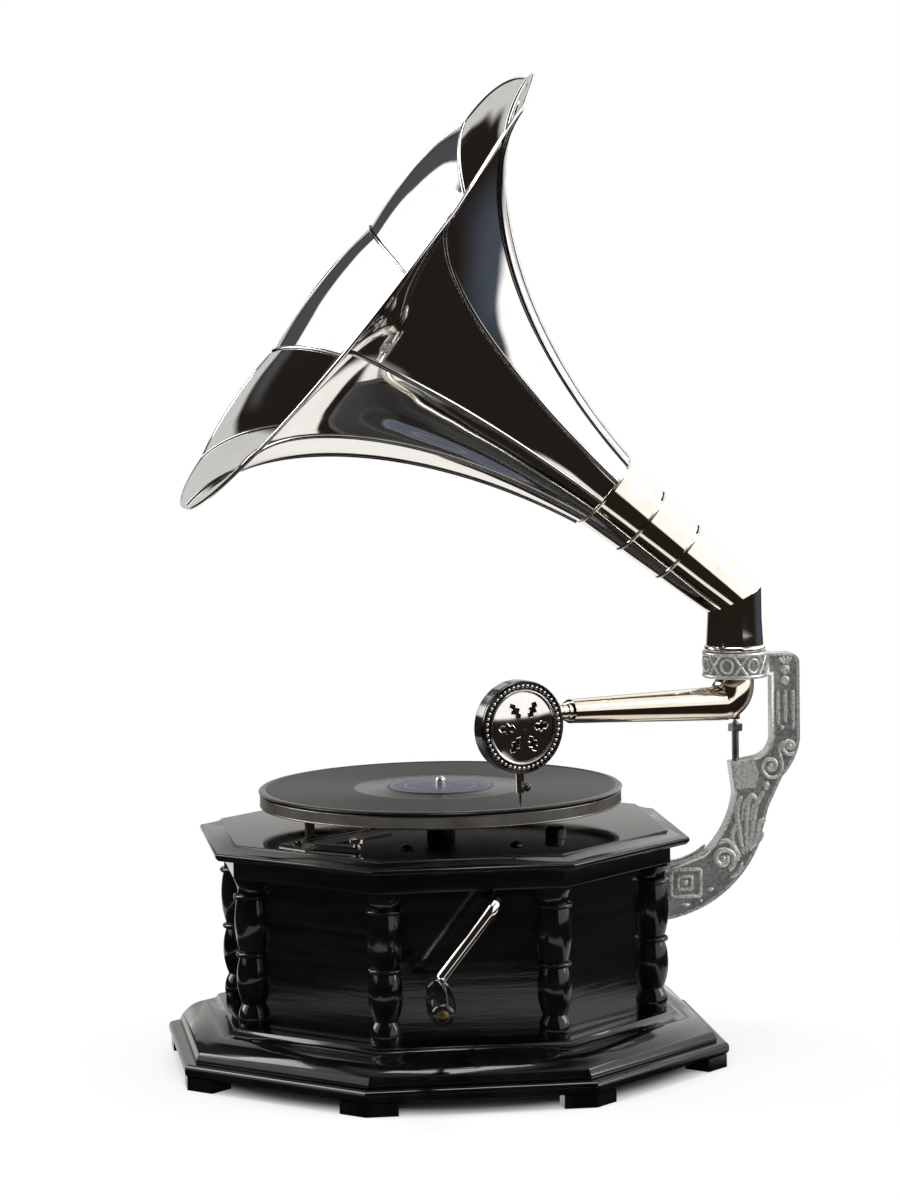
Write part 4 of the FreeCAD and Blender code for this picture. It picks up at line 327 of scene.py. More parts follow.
def new_finish(name):
    finish = bpy.data.materials.new(name)
    finish.use_nodes = True
    tree = finish.node_tree
    return finish, tree, tree.nodes["Principled BSDF"], add(tree, "ShaderNodeTexCoord").outputs["Object"]


def haze(tree, shader, spot, scale, smooth, rough):
    """Gives the shader a blotchy roughness, and gives back the height that goes with it."""
    node = add(tree, "ShaderNodeGroup", {"Vector": spot, "Scale": scale, "Smooth": smooth, "Rough": rough},
               node_tree=surface_haze)
    feed(tree, shader, {"Roughness": node.outputs["Roughness"]})
    return node.outputs["Height"]


def lacquer(name, stretch, strength):
    """Black lacquer over open grain; stretch is the grain's scale along each axis."""
    finish, tree, shader, spot = new_finish(name)
    haze(tree, shader, spot, LACQUER_SCALE, LACQUER_SMOOTH, LACQUER_ROUGH)
    grain = add(tree, "ShaderNodeGroup", {"Vector": spot, "Stretch": stretch, "Strength": strength},
                node_tree=lacquer_grain)
    feed(tree, shader, {"Base Color": grain.outputs["Color"], "Normal": grain.outputs["Normal"]})
    return finish


def dress(finish, *nodes):
    for node in nodes:
        slots = frame["nodes"][node].data.materials
        slots.clear()
        slots.append(finish)


def curve(start, pull, end, share):
    return tuple(start * (1 - share) ** 2 + pull * 2 * share * (1 - share) + end * share ** 2)


def bow(start, middle, end, steps):
    """Points on a curve from start to end through middle, without the start itself."""
    start, middle, end = Vector(start), Vector(middle), Vector(end)
    pull = middle * 2 - (start + end) / 2
    return [curve(start, pull, end, step / steps) for step in range(1, steps + 1)]


def eased(outline, radius, steps=3):
    """A closed outline with its corners rounded, except those on the turning axis."""
    rounded = []
    for number, corner in enumerate(outline):
        here = Vector(corner)
        before = Vector(outline[number - 1]) - here
        after = Vector(outline[(number + 1) % len(outline)]) - here
        if corner[0] < ON_AXIS or math.pi - before.angle(after) < SLIGHT_TURN:
            rounded.append(tuple(here))
            continue
        start = here + before.normalized() * min(radius, before.length * EASE_SHARE)
        end = here + after.normalized() * min(radius, after.length * EASE_SHARE)
        rounded += [curve(start, here, end, step / steps) for step in range(steps + 1)]
    return rounded


def polar(radius, angle, level=0.0):
    """A point by its distance from the axis, its angle and its level, from millimetres to metres."""
    return Vector((radius * math.cos(angle) * MM, radius * math.sin(angle) * MM, level * MM))


def bridge(shape, low, high):
    """Adds the faces between two rings of corners, of which one may be a single point."""
    for step in range(max(len(low), len(high))):
        after = step + 1
        corners = dict.fromkeys((low[step % len(low)], low[after % len(low)],
                                 high[after % len(high)], high[step % len(high)]))
        if len(corners) > 2:
            shape.faces.new(list(corners))


def swing(shape, outline, steps, turn=None, first=0.0):
    """Adds an outline of (radius, height), swept round; it closes unless it ends on the axis."""
    turn = turn or Matrix()
    rows = []
    for radius, level in outline:
        count = 1 if radius < ON_AXIS else steps
        rows.append([shape.verts.new(turn @ polar(radius, first + math.tau * step / steps, level))
                     for step in range(count)])
    ends_on_axis = len(rows[0]) == 1 and len(rows[-1]) == 1
    for low, high in zip(rows, rows[1:] if ends_on_axis else rows[1:] + rows[:1]):
        bridge(shape, low, high)


def new_piece(name, shape, finish, body, slot, *nodes, second=None, sharp=35):
    """Puts a shape in the scene with its finish or two, on its body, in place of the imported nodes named."""
    bmesh.ops.recalc_face_normals(shape, faces=shape.faces)
    mesh = bpy.data.meshes.new(name)
    shape.to_mesh(mesh)
    shape.free()
    mesh.shade_smooth()
    mesh.set_sharp_from_angle(angle=math.radians(sharp))
    if "custom_normal" in mesh.attributes:
        mesh.attributes.remove(mesh.attributes["custom_normal"])
    mesh.materials.append(finish)
    if second:
        mesh.materials.append(second)
    piece = bpy.data.objects.new(name, mesh)
    scene.collection.objects.link(piece)
    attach(piece, body)
    if nodes:
        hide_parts(*nodes)


def moulded(name, outline, arris, bottom, finish, node):
    """Takes an outline of (distance to the flat, height) round eight mitred sides, in place of a node."""
    shape = bmesh.new()
    swing(shape, [(flat / math.cos(EIGHTH), level + bottom) for flat, level in eased(outline, arris)], SIDES,
          first=EIGHTH)
    new_piece(name, shape, finish, "cabinet", "black_lacquer", node)


level_lacquer = lacquer("black_lacquer_level_grain", (9, 9, 170), 0.06)
flat_lacquer = lacquer("black_lacquer_flat", (60, 14, 14), 0.06)
turned_lacquer = lacquer("black_lacquer_turned", (25, 25, 120), 0.06)
dress(flat_lacquer, "feet", "bottom_board")

INNER_FLAT = 138
PLINTH_BOTTOM = 17.5
PLINTH_FLAT = 180
PLINTH_LIP = 2.5
PLINTH_HEIGHT = 21
SHOULDER_FLAT = 162.5
SHOULDER_LEVEL = 16
BELLY_OUT = 1.6
BELLY_UP = 2.1
QUIRK = 1.5
LEDGE_FLAT = 153.5
HOLLOW_IN = 0.9
ARRIS = 0.7
belly = ((PLINTH_FLAT + SHOULDER_FLAT) / 2 + BELLY_OUT, (PLINTH_LIP + SHOULDER_LEVEL) / 2 + BELLY_UP)
step_flat = SHOULDER_FLAT - QUIRK
hollow = ((step_flat + LEDGE_FLAT) / 2 - HOLLOW_IN, (SHOULDER_LEVEL + PLINTH_HEIGHT) / 2 - HOLLOW_IN)
plinth_outline = [(INNER_FLAT, 0), (PLINTH_FLAT, 0), (PLINTH_FLAT, PLINTH_LIP)]
plinth_outline += bow(plinth_outline[-1], belly, (SHOULDER_FLAT, SHOULDER_LEVEL), 12)
plinth_outline += [(step_flat, SHOULDER_LEVEL)]
plinth_outline += bow(plinth_outline[-1], hollow, (LEDGE_FLAT, PLINTH_HEIGHT), 6)
plinth_outline += [(INNER_FLAT, PLINTH_HEIGHT)]
moulded("base_moulding", plinth_outline, ARRIS, PLINTH_BOTTOM, flat_lacquer, "plinth_moulding")

# Body. Flat panels let in between eight turned half columns, with a plain frieze rail round the top, glued
# and brushed with the same black lacquer; the grain of the panels lies level.
dress(level_lacquer, "front_panel", "bracket_panel", "side_panels")
dress(turned_lacquer, "corner_columns")
FRIEZE_FLAT = 151
FRIEZE_BOTTOM = 141.5
BOARD_BOTTOM = 154.5
FRIEZE_HEIGHT = BOARD_BOTTOM - FRIEZE_BOTTOM
FRIEZE_ARRIS = 0.8
frieze_outline = [(INNER_FLAT, 0), (FRIEZE_FLAT, 0), (FRIEZE_FLAT, FRIEZE_HEIGHT),
                  (INNER_FLAT, FRIEZE_HEIGHT)]
moulded("frieze_rail", frieze_outline, FRIEZE_ARRIS, FRIEZE_BOTTOM, level_lacquer, "frieze")

# Top board. One octagonal board with a cove and a rounded nose worked along its edge, screwed down on the
# frieze and rubbed to a higher gloss than the sides.
BOARD_THICKNESS = 10
BOARD_FLAT = 149.4
COVE_TOP = BOARD_THICKNESS - 1
LIP_FLAT = 163.6
LIP_HEIGHT = 5.6
LIP_NOSE = 1.8
LIP_CHAMFER = 2.4
NOSE_CUT = LIP_NOSE * 0.29
cove_start = (LIP_FLAT - LIP_NOSE, LIP_HEIGHT)
cove_middle = ((BOARD_FLAT + LIP_FLAT) / 2 - 0.6, (COVE_TOP + LIP_HEIGHT) / 2 - 0.5)
board_outline = [(0, 0), (LIP_FLAT - LIP_CHAMFER, 0), (LIP_FLAT, LIP_CHAMFER),
                 (LIP_FLAT, LIP_HEIGHT - LIP_NOSE)]
board_outline += bow(board_outline[-1], (LIP_FLAT - NOSE_CUT, LIP_HEIGHT - NOSE_CUT), cove_start, 5)
board_outline += bow(cove_start, cove_middle, (BOARD_FLAT, COVE_TOP), 8)
board_outline += [(BOARD_FLAT, BOARD_THICKNESS), (0, BOARD_THICKNESS)]
board_lacquer = lacquer("black_lacquer_board", (70, 9, 9), 0.05)
moulded("top_board_moulded", board_outline, ARRIS, BOARD_BOTTOM, board_lacquer, "top_board")

# Motor. Two steel plates on turned pillars with a brass and steel spring drive between them, bolted up under
# the top board; machined faces are left bright, with a film of oil.
FILM_SCALE = 55.0
RIPPLE_SCALE = 24.0
RIPPLE_DETAIL = 2.0
RIPPLE_DEPTH = 0.004
plate_ripple, entry = effect("plate_ripple", {"Vector": "Vector", "Strength": "Float"}, {"Normal": "Vector"})
waves = cloud(plate_ripple, entry["Vector"], RIPPLE_SCALE, RIPPLE_DETAIL)
add(plate_ripple, "NodeGroupOutput", {"Normal": bump(plate_ripple, waves, entry["Strength"], RIPPLE_DEPTH)})


def plate(name, low_colour, high_colour, smooth, rough, wave):
    """Bare or plated metal with faint wipe marks; wave is the strength of its slow ripple."""
    finish, tree, shader, spot = new_finish(name)
    film = haze(tree, shader, spot, FILM_SCALE, smooth, rough)
    ripple = add(tree, "ShaderNodeGroup", {"Vector": spot, "Strength": wave}, node_tree=plate_ripple)
    feed(tree, shader, {"Metallic": 1.0, "Base Color": tint(tree, film, low_colour, high_colour),
                        "Normal": ripple.outputs["Normal"]})
    return finish


machined_steel = plate("machined_steel", (0.40, 0.40, 0.40, 1), (0.56, 0.56, 0.55, 1), 0.20, 0.34, 0.05)
turned_brass = plate("turned_brass", (0.62, 0.43, 0.18, 1), (0.78, 0.58, 0.28, 1), 0.14, 0.30, 0.05)
nickel = plate("nickel_plate", (0.84, 0.82, 0.79, 1), (0.92, 0.90, 0.87, 1), 0.03, 0.09, 0.03)
for entry in frame["record"]["subparts"]:
    for slot, finish in (("steel", machined_steel), ("brass", turned_brass), ("nickel", nickel)):
        if entry["material_slot"] == slot:
            dress(finish, entry["node"])


# Turntable. A pressed platter with its rim rolled at both edges, browned and lacquered, faced with dark felt
# and driven by the plated spindle that stands up through the record.
def plain(name, low_colour, high_colour, scale, smooth, rough, depth):
    """A non-metal surface: two near colours, two roughness limits and a fine grain."""
    finish, tree, shader, spot = new_finish(name)
    height = haze(tree, shader, spot, scale, smooth, rough)
    feed(tree, shader, {"Base Color": tint(tree, height, low_colour, high_colour),
                        "Normal": bump(tree, height, depth, 0.001)})
    return finish


browned = plate("browned_steel", (0.05, 0.045, 0.04, 1), (0.09, 0.08, 0.07, 1), 0.26, 0.4, 0.05)
dark_felt = plain("dark_felt", (0.006, 0.007, 0.006, 1), (0.016, 0.018, 0.015, 1), 900.0, 0.9, 1.0, 0.5)
rim_lacquer = plain("rim_lacquer", (0.060, 0.054, 0.045, 1), (0.095, 0.088, 0.076, 1), 60.0, 0.32, 0.48, 0.05)
rubbed_rim = plate("rubbed_rim", (0.20, 0.185, 0.15, 1), (0.32, 0.30, 0.25, 1), 0.24, 0.4, 0.03)
dress(browned, "turntable_platter")
dress(dark_felt, "turntable_felt")
PLATTER_RADIUS = 126
PLATTER_BOTTOM = 180
PLATTER_TOP = 188.5
BAND_IN = PLATTER_RADIUS - 0.3
BAND_OUT = PLATTER_RADIUS + 0.1
BAND_BOTTOM = PLATTER_BOTTOM + 0.3
BAND_TOP = PLATTER_TOP - 0.2
ROLL_STEPS = 10
RIM_SIDES = 160
rolled = bmesh.new()
rim_band = [(BAND_IN, BAND_BOTTOM), (BAND_OUT, BAND_BOTTOM), (BAND_OUT, BAND_TOP), (BAND_IN, BAND_TOP)]
swing(rolled, rim_band, RIM_SIDES)
band_faces = len(rolled.faces)
for level, proud, roll in ((PLATTER_BOTTOM + 0.6, 0.1, 0.6), (PLATTER_TOP - 0.4, 0.2, 0.4)):
    ring = [(PLATTER_RADIUS + proud - roll * 0.5 + roll * 0.9 * math.cos(math.tau * step / ROLL_STEPS),
             level + roll * math.sin(math.tau * step / ROLL_STEPS)) for step in range(ROLL_STEPS)]
    swing(rolled, ring, RIM_SIDES)
rolled.faces.ensure_lookup_table()
for face in rolled.faces[band_faces:]:
    face.material_index = 1
new_piece("platter_rolled_edges", rolled, rim_lacquer, "turntable", "steel", second=rubbed_rim)

# Record. A pressed shellac disc with a raised bead at its edge, a band of fine grooves, a smoother run-out
# ring and a paper label pressed in with it.
RECORD_BOTTOM = 189.5
RECORD_TOP = 191.5
RECORD_RADIUS = 127
RECORD_SIDES = 180
LEAD_IN = 122.4
GROOVE_OUT = 121
GROOVE_IN = 60
GROOVE_PITCH = 2.2
GROOVE_TOP = RECORD_TOP - 0.17
GROOVE_BOTTOM = RECORD_TOP - 0.28
LABEL_RADIUS = 37.5
HOLE_RADIUS = 3.7
record_outline = [(HOLE_RADIUS, RECORD_BOTTOM), (RECORD_RADIUS - 1.2, RECORD_BOTTOM)]
record_outline += bow(record_outline[-1], (RECORD_RADIUS, RECORD_BOTTOM + 0.6),
                      (RECORD_RADIUS - 0.2, RECORD_TOP - 0.9), 4)
record_outline += [(RECORD_RADIUS - 1.3, RECORD_TOP - 0.05), (RECORD_RADIUS - 1.7, RECORD_TOP)]
record_outline += [(LEAD_IN, RECORD_TOP - 0.05), (LEAD_IN - 0.5, RECORD_TOP - 0.5)]
record_outline += [(GROOVE_OUT, GROOVE_BOTTOM)]
band = GROOVE_OUT
while band > GROOVE_IN + GROOVE_PITCH:
    record_outline += [(band - GROOVE_PITCH * 0.42, GROOVE_TOP), (band - GROOVE_PITCH, GROOVE_BOTTOM)]
    band -= GROOVE_PITCH
record_outline += [(GROOVE_IN, RECORD_TOP - 0.38), (GROOVE_IN - 0.8, RECORD_TOP - 0.42)]
record_outline += [(LABEL_RADIUS + 1.5, RECORD_TOP - 0.40), (LABEL_RADIUS + 0.3, RECORD_TOP - 0.05)]
record_outline += [(LABEL_RADIUS - 0.6, RECORD_TOP), (HOLE_RADIUS, RECORD_TOP)]
disc = bmesh.new()
swing(disc, record_outline, RECORD_SIDES)


def ring_distance(tree, spot, scale):
    """The distance from the turning axis, times a scale."""
    parts = add(tree, "ShaderNodeSeparateXYZ", {0: spot})
    flat = add(tree, "ShaderNodeCombineXYZ", {"X": parts.outputs["X"], "Y": parts.outputs["Y"]})
    length = add(tree, "ShaderNodeVectorMath", {0: flat.outputs[0]}, operation="LENGTH")
    return sum_up(tree, "MULTIPLY", length.outputs["Value"], scale)


SHELLAC_DARK = (0.006, 0.0058, 0.0056, 1)
SHELLAC_DUSTY = (0.015, 0.0145, 0.014, 1)
SHELLAC_SHINE = 0.42
FINE_GROOVES = 14.0
SMOOTH_RING = 0.16
GROOVED_RING = 0.35
shellac, tree, shader, spot = new_finish("shellac")
reach = ring_distance(tree, spot, 1 / MM)
fine = sum_up(tree, "SINE", sum_up(tree, "MULTIPLY", reach, FINE_GROOVES), 0.0)
dust = cloud(tree, spot, 70.0, 6.0)
grooved = sum_up(tree, "MULTIPLY", ramp(tree, reach, GROOVE_IN - 0.6, GROOVE_IN + 0.6),
                 ramp(tree, reach, LEAD_IN + 0.2, LEAD_IN - 0.6))
dull = add(tree, "ShaderNodeMapRange", {"Value": grooved, "To Min": SMOOTH_RING, "To Max": GROOVED_RING})
feed(tree, shader, {"Specular IOR Level": SHELLAC_SHINE, "Roughness": dull.outputs["Result"],
                    "Base Color": tint(tree, dust, SHELLAC_DARK, SHELLAC_DUSTY),
                    "Normal": bump(tree, fine, 0.12, 0.0003)})
new_piece("shellac_disc", disc, shellac, "turntable", "shellac", "record_disc", sharp=60)

# Label. A round of paper in plain blue with thin pale rings, laid in the press with the shellac, so that it
# is pressed into the middle of the record.
LABEL_BOTTOM = RECORD_TOP - 0.1
LABEL_LIFT = 0.3
LABEL_TOP = RECORD_TOP + LABEL_LIFT
LABEL_HOLE = 3.75
LABEL_SIDES = 120
LABEL_BLUE = (0.105, 0.122, 0.178, 1)
LABEL_PALE = (0.30, 0.29, 0.26, 1)
LABEL_EDGE = (0.08, 0.092, 0.13, 1)
LABEL_RINGS = ((0.0, LABEL_EDGE), (0.13, LABEL_PALE), (0.16, LABEL_BLUE), (0.64, LABEL_PALE),
               (0.67, LABEL_BLUE), (0.90, LABEL_PALE), (0.93, LABEL_EDGE))
label_disc = bmesh.new()
swing(label_disc, [(LABEL_HOLE, LABEL_BOTTOM), (LABEL_RADIUS, LABEL_BOTTOM),
                   (LABEL_RADIUS, RECORD_TOP + LABEL_LIFT * 0.6), (LABEL_RADIUS - 0.4, LABEL_TOP),
                   (LABEL_HOLE + 1.4, LABEL_TOP), (LABEL_HOLE, RECORD_TOP + LABEL_LIFT * 0.7)], LABEL_SIDES)
label_paper, tree, shader, spot = new_finish("label_paper")
rings = add(tree, "ShaderNodeValToRGB", {"Fac": ring_distance(tree, spot, 1 / MM / LABEL_RADIUS)})
rings.color_ramp.interpolation = "CONSTANT"
while len(rings.color_ramp.elements) < len(LABEL_RINGS):
    rings.color_ramp.elements.new(0.5)
for element, (position, colour) in zip(rings.color_ramp.elements, LABEL_RINGS):
    element.position = position
for element, (position, colour) in zip(rings.color_ramp.elements, LABEL_RINGS):
    element.color = colour
pulp = haze(tree, shader, spot, 300.0, 0.34, 0.5)
feed(tree, shader, {"Base Color": rings.outputs["Color"], "Normal": bump(tree, pulp, 0.15, 0.0004)})
new_piece("label_round", label_disc, label_paper, "turntable", "label_paper", "record_label")

# Brake. A small plated plate screwed to the board carries a swinging lever with a trip rod, a round pad on a
# post that bears on the platter, and a domed finger knob.
rubber = plain("dark_rubber", (0.006, 0.0055, 0.005, 1), (0.02, 0.019, 0.018, 1), 200.0, 0.45, 0.65, 0.2)
worn_nickel = plate("worn_nickel", (0.22, 0.21, 0.18, 1), (0.48, 0.46, 0.40, 1), 0.14, 0.32, 0.05)
dress(rubber, "brake_pad")
dress(worn_nickel, "brake_base", "brake_lever")

# Speed regulator. A small knob of blackened brass on a stem through the board, which tilts the governor's
# brake arm; the screws and motor bolts in the board have heads blackened in the same way.
dark_metal = plate("blackened_brass", (0.035, 0.032, 0.03, 1), (0.09, 0.085, 0.08, 1), 0.25, 0.4, 0.05)
dress(dark_metal, "regulator_knob", "board_screws")

# Crank. A bright plated rod bent out of the panel and down, with a turned black grip that spins on its end
# and is kept on by a riveted brass pin.
crank_nickel = plate("crank_nickel", (0.88, 0.87, 0.85, 1), (0.96, 0.95, 0.93, 1), 0.025, 0.07, 0.03)
aged_brass = plate("aged_brass", (0.10, 0.075, 0.025, 1), (0.30, 0.23, 0.09, 1), 0.3, 0.5, 0.08)
black_grip = plain("black_grip", (0.0035, 0.0033, 0.0033, 1), (0.009, 0.0085, 0.0085, 1),
                   60.0, 0.05, 0.16, 0.04)
dress(crank_nickel, "crank_arm", "winding_shaft")
dress(aged_brass, "crank_rivet")
CRANK_KNEE = Vector((13.5, -173, 136.5))
CRANK_ARM = 66
CRANK_ANGLE = math.radians(52)
GRIP_SPLAY = math.radians(7)
GRIP_STAND = 12
GRIP_BORE = 2.75
GRIP_FOOT = 0.35
GRIP_END = 61.2
GRIP_SIDES = 72
down_arm = Vector((-math.cos(CRANK_ANGLE), 0, -math.sin(CRANK_ANGLE)))
grip_way = Vector((0, -1, 0)) * math.cos(GRIP_SPLAY) + down_arm * math.sin(GRIP_SPLAY)
grip_spot = (CRANK_KNEE + down_arm * CRANK_ARM + grip_way * GRIP_STAND) * MM
grip_turn = Matrix.Translation(grip_spot) @ grip_way.to_track_quat("Z", "Y").to_matrix().to_4x4()
grip_outline = [(GRIP_BORE, GRIP_FOOT), (7.0, GRIP_FOOT), (7.7, 1.1), (7.7, 3.0), (7.0, 3.9)]
grip_outline += bow(grip_outline[-1], (9.55, 33), (7.9, 57.5), 18)
grip_outline += bow(grip_outline[-1], (7.0, 60.6), (4.9, 61.8), 6)
grip_outline += [(4.6, GRIP_END), (GRIP_BORE, GRIP_END)]
grip_shape = bmesh.new()
swing(grip_shape, grip_outline, GRIP_SIDES, grip_turn)
new_piece("turned_grip", grip_shape, black_grip, "grip", "black_grip", "crank_knob")


# Bracket. An iron casting bolted to the back panel that carries tonearm and horn; its faces have a raised
# border with scrolls, leaves and a fret cast in relief. It is silvered and rubbed back on the high parts, so
# that the hollows stay dark.
def smooth_line(points, steps=6):
    """A flowing line through the points given."""
    points = [Vector(point) for point in points]
    line = [points[0]]
    for number in range(len(points) - 1):
        a = points[max(number - 1, 0)]
        b, c = points[number], points[number + 1]
        d = points[min(number + 2, len(points) - 1)]
        for step in range(1, steps + 1):
            t = step / steps
            line.append((b * 2 + (c - a) * t + (a * 2 - b * 5 + c * 4 - d) * t ** 2
                         + (b * 3 - a - c * 3 + d) * t ** 3) * 0.5)
    return line


def swept(shape, path, radii, sides=10, closed=False):
    """Adds a round bar along a path of points, with a radius for each point."""
    count = len(path)
    rings = []
    aside = None
    for number, point in enumerate(path):
        before = path[number - 1] if closed or number else point
        after = path[(number + 1) % count] if closed or number < count - 1 else point
        along = (after - before).normalized()
        aside = along.orthogonal() if aside is None else aside - along * aside.dot(along)
        aside = aside.normalized()
        across = along.cross(aside)
        rings.append([shape.verts.new(point + (aside * math.cos(math.tau * step / sides)
                                               + across * math.sin(math.tau * step / sides)) * radii[number])
                      for step in range(sides)])
    for low, high in zip(rings, rings[1:] + rings[:1] if closed else rings[1:]):
        bridge(shape, low, high)
    if not closed:
        shape.faces.new(rings[0][::-1])
        shape.faces.new(rings[-1])


SAND_SCALE = 420.0
SAND_STRENGTH = 0.4
SAND_DEPTH = 0.0008


def cast_finish(name, low_colour, high_colour, metal, smooth, rough):
    """Silvered casting with the grain of the sand mould."""
    finish, tree, shader, spot = new_finish(name)
    sand = haze(tree, shader, spot, SAND_SCALE, smooth, rough)
    feed(tree, shader, {"Metallic": metal, "Normal": bump(tree, sand, SAND_STRENGTH, SAND_DEPTH),
                        "Base Color": tint(tree, sand, low_colour, high_colour, 0.32, 0.68)})
    return finish


hollow_casting = cast_finish("silvered_casting_hollows", (0.13, 0.125, 0.12, 1), (0.32, 0.31, 0.30, 1),
                             0.4, 0.4, 0.6)
raised_casting = cast_finish("silvered_casting_raised", (0.54, 0.53, 0.515, 1), (0.82, 0.81, 0.79, 1),
                             0.6, 0.20, 0.40)
BRACKET_HALF = 7.0
FIELD_DEPTH = 1.7
BORDER = 1.9
RING_X = 210
RING_RADIUS = 23
RING_GROUND = 21.9
RING_BOTTOM = 262
RING_TOP = 280
field = BRACKET_HALF - FIELD_DEPTH
ring_axis = Vector((RING_X, 0, 0)) * MM
casting = bmesh.new()
casting.from_mesh(frame["nodes"]["bracket_casting"].data)
bmesh.ops.remove_doubles(casting, verts=casting.verts[:], dist=1e-6)
bmesh.ops.dissolve_limit(casting, angle_limit=math.radians(1), verts=casting.verts[:], edges=casting.edges[:])
for corner in casting.verts:
    out = (corner.co - ring_axis).xy
    on_rim = abs(out.length - RING_RADIUS * MM) < 0.05 * MM and corner.co.z > (RING_BOTTOM - 0.1) * MM
    if on_rim and not (out.x > 0 and abs(abs(out.y) - BRACKET_HALF * MM) < 0.1 * MM):
        corner.co.xy = ring_axis.xy + out * RING_GROUND / RING_RADIUS
cheeks = [face for face in casting.faces if abs(face.normal.y) > 0.99
          and abs(abs(face.calc_center_median().y) - BRACKET_HALF * MM) < 0.05 * MM]
for cheek in sorted(cheeks, key=lambda face: -face.calc_area())[:2]:
    bmesh.ops.inset_region(casting, faces=[cheek], thickness=BORDER * MM, depth=-FIELD_DEPTH * MM,
                           use_even_offset=True)
    cheek.material_index = 1
for face in casting.faces:
    middle = face.calc_center_median()
    if middle.z > (RING_BOTTOM + 0.5) * MM and abs(face.normal.z) < 0.1:
        if abs((middle - ring_axis).xy.length - RING_GROUND * MM) < 0.4 * MM:
            face.material_index = 1
new_piece("bracket_body", casting, raised_casting, "cabinet", "antique_casting", "bracket_casting",
          second=hollow_casting)
dress(raised_casting, "bracket_bolts")

RIB_FULL = 1.3
relief = bmesh.new()


def on_face(side, points):
    return [Vector((x, side * field, z)) * MM for x, z in points]


def rib(side, points, thick, start=0.5, end=0.35, steps=6):
    """A raised line on one cheek that thins towards both ends."""
    line = smooth_line(on_face(side, points), steps)
    radii = []
    for number in range(len(line)):
        share = number / (len(line) - 1)
        swell = math.sin(math.pi * share) ** 0.5
        ends = start * (1 - share) + end * share
        radii.append(thick * RIB_FULL * (ends + (1 - ends) * swell) * MM)
    swept(relief, line, radii)


def boss(side, x, z, wide, tall, proud):
    """A domed bead on one cheek."""
    spot = Matrix.Translation(on_face(side, [(x, z)])[0])
    size = Matrix.Diagonal((wide * MM, proud * MM, tall * MM, 1))
    bmesh.ops.create_uvsphere(relief, u_segments=20, v_segments=12, radius=1.0, matrix=spot @ size)


def volute(x, z, outer, inner, start, turns, steps=26):
    """Points of a spiral that winds in; angles in degrees, turns may be negative."""
    points = []
    for step in range(steps + 1):
        share = step / steps
        angle = math.radians(start + 360 * turns * share)
        radius = outer * (inner / outer) ** share
        points.append((x + radius * math.cos(angle), z + radius * math.sin(angle)))
    return points


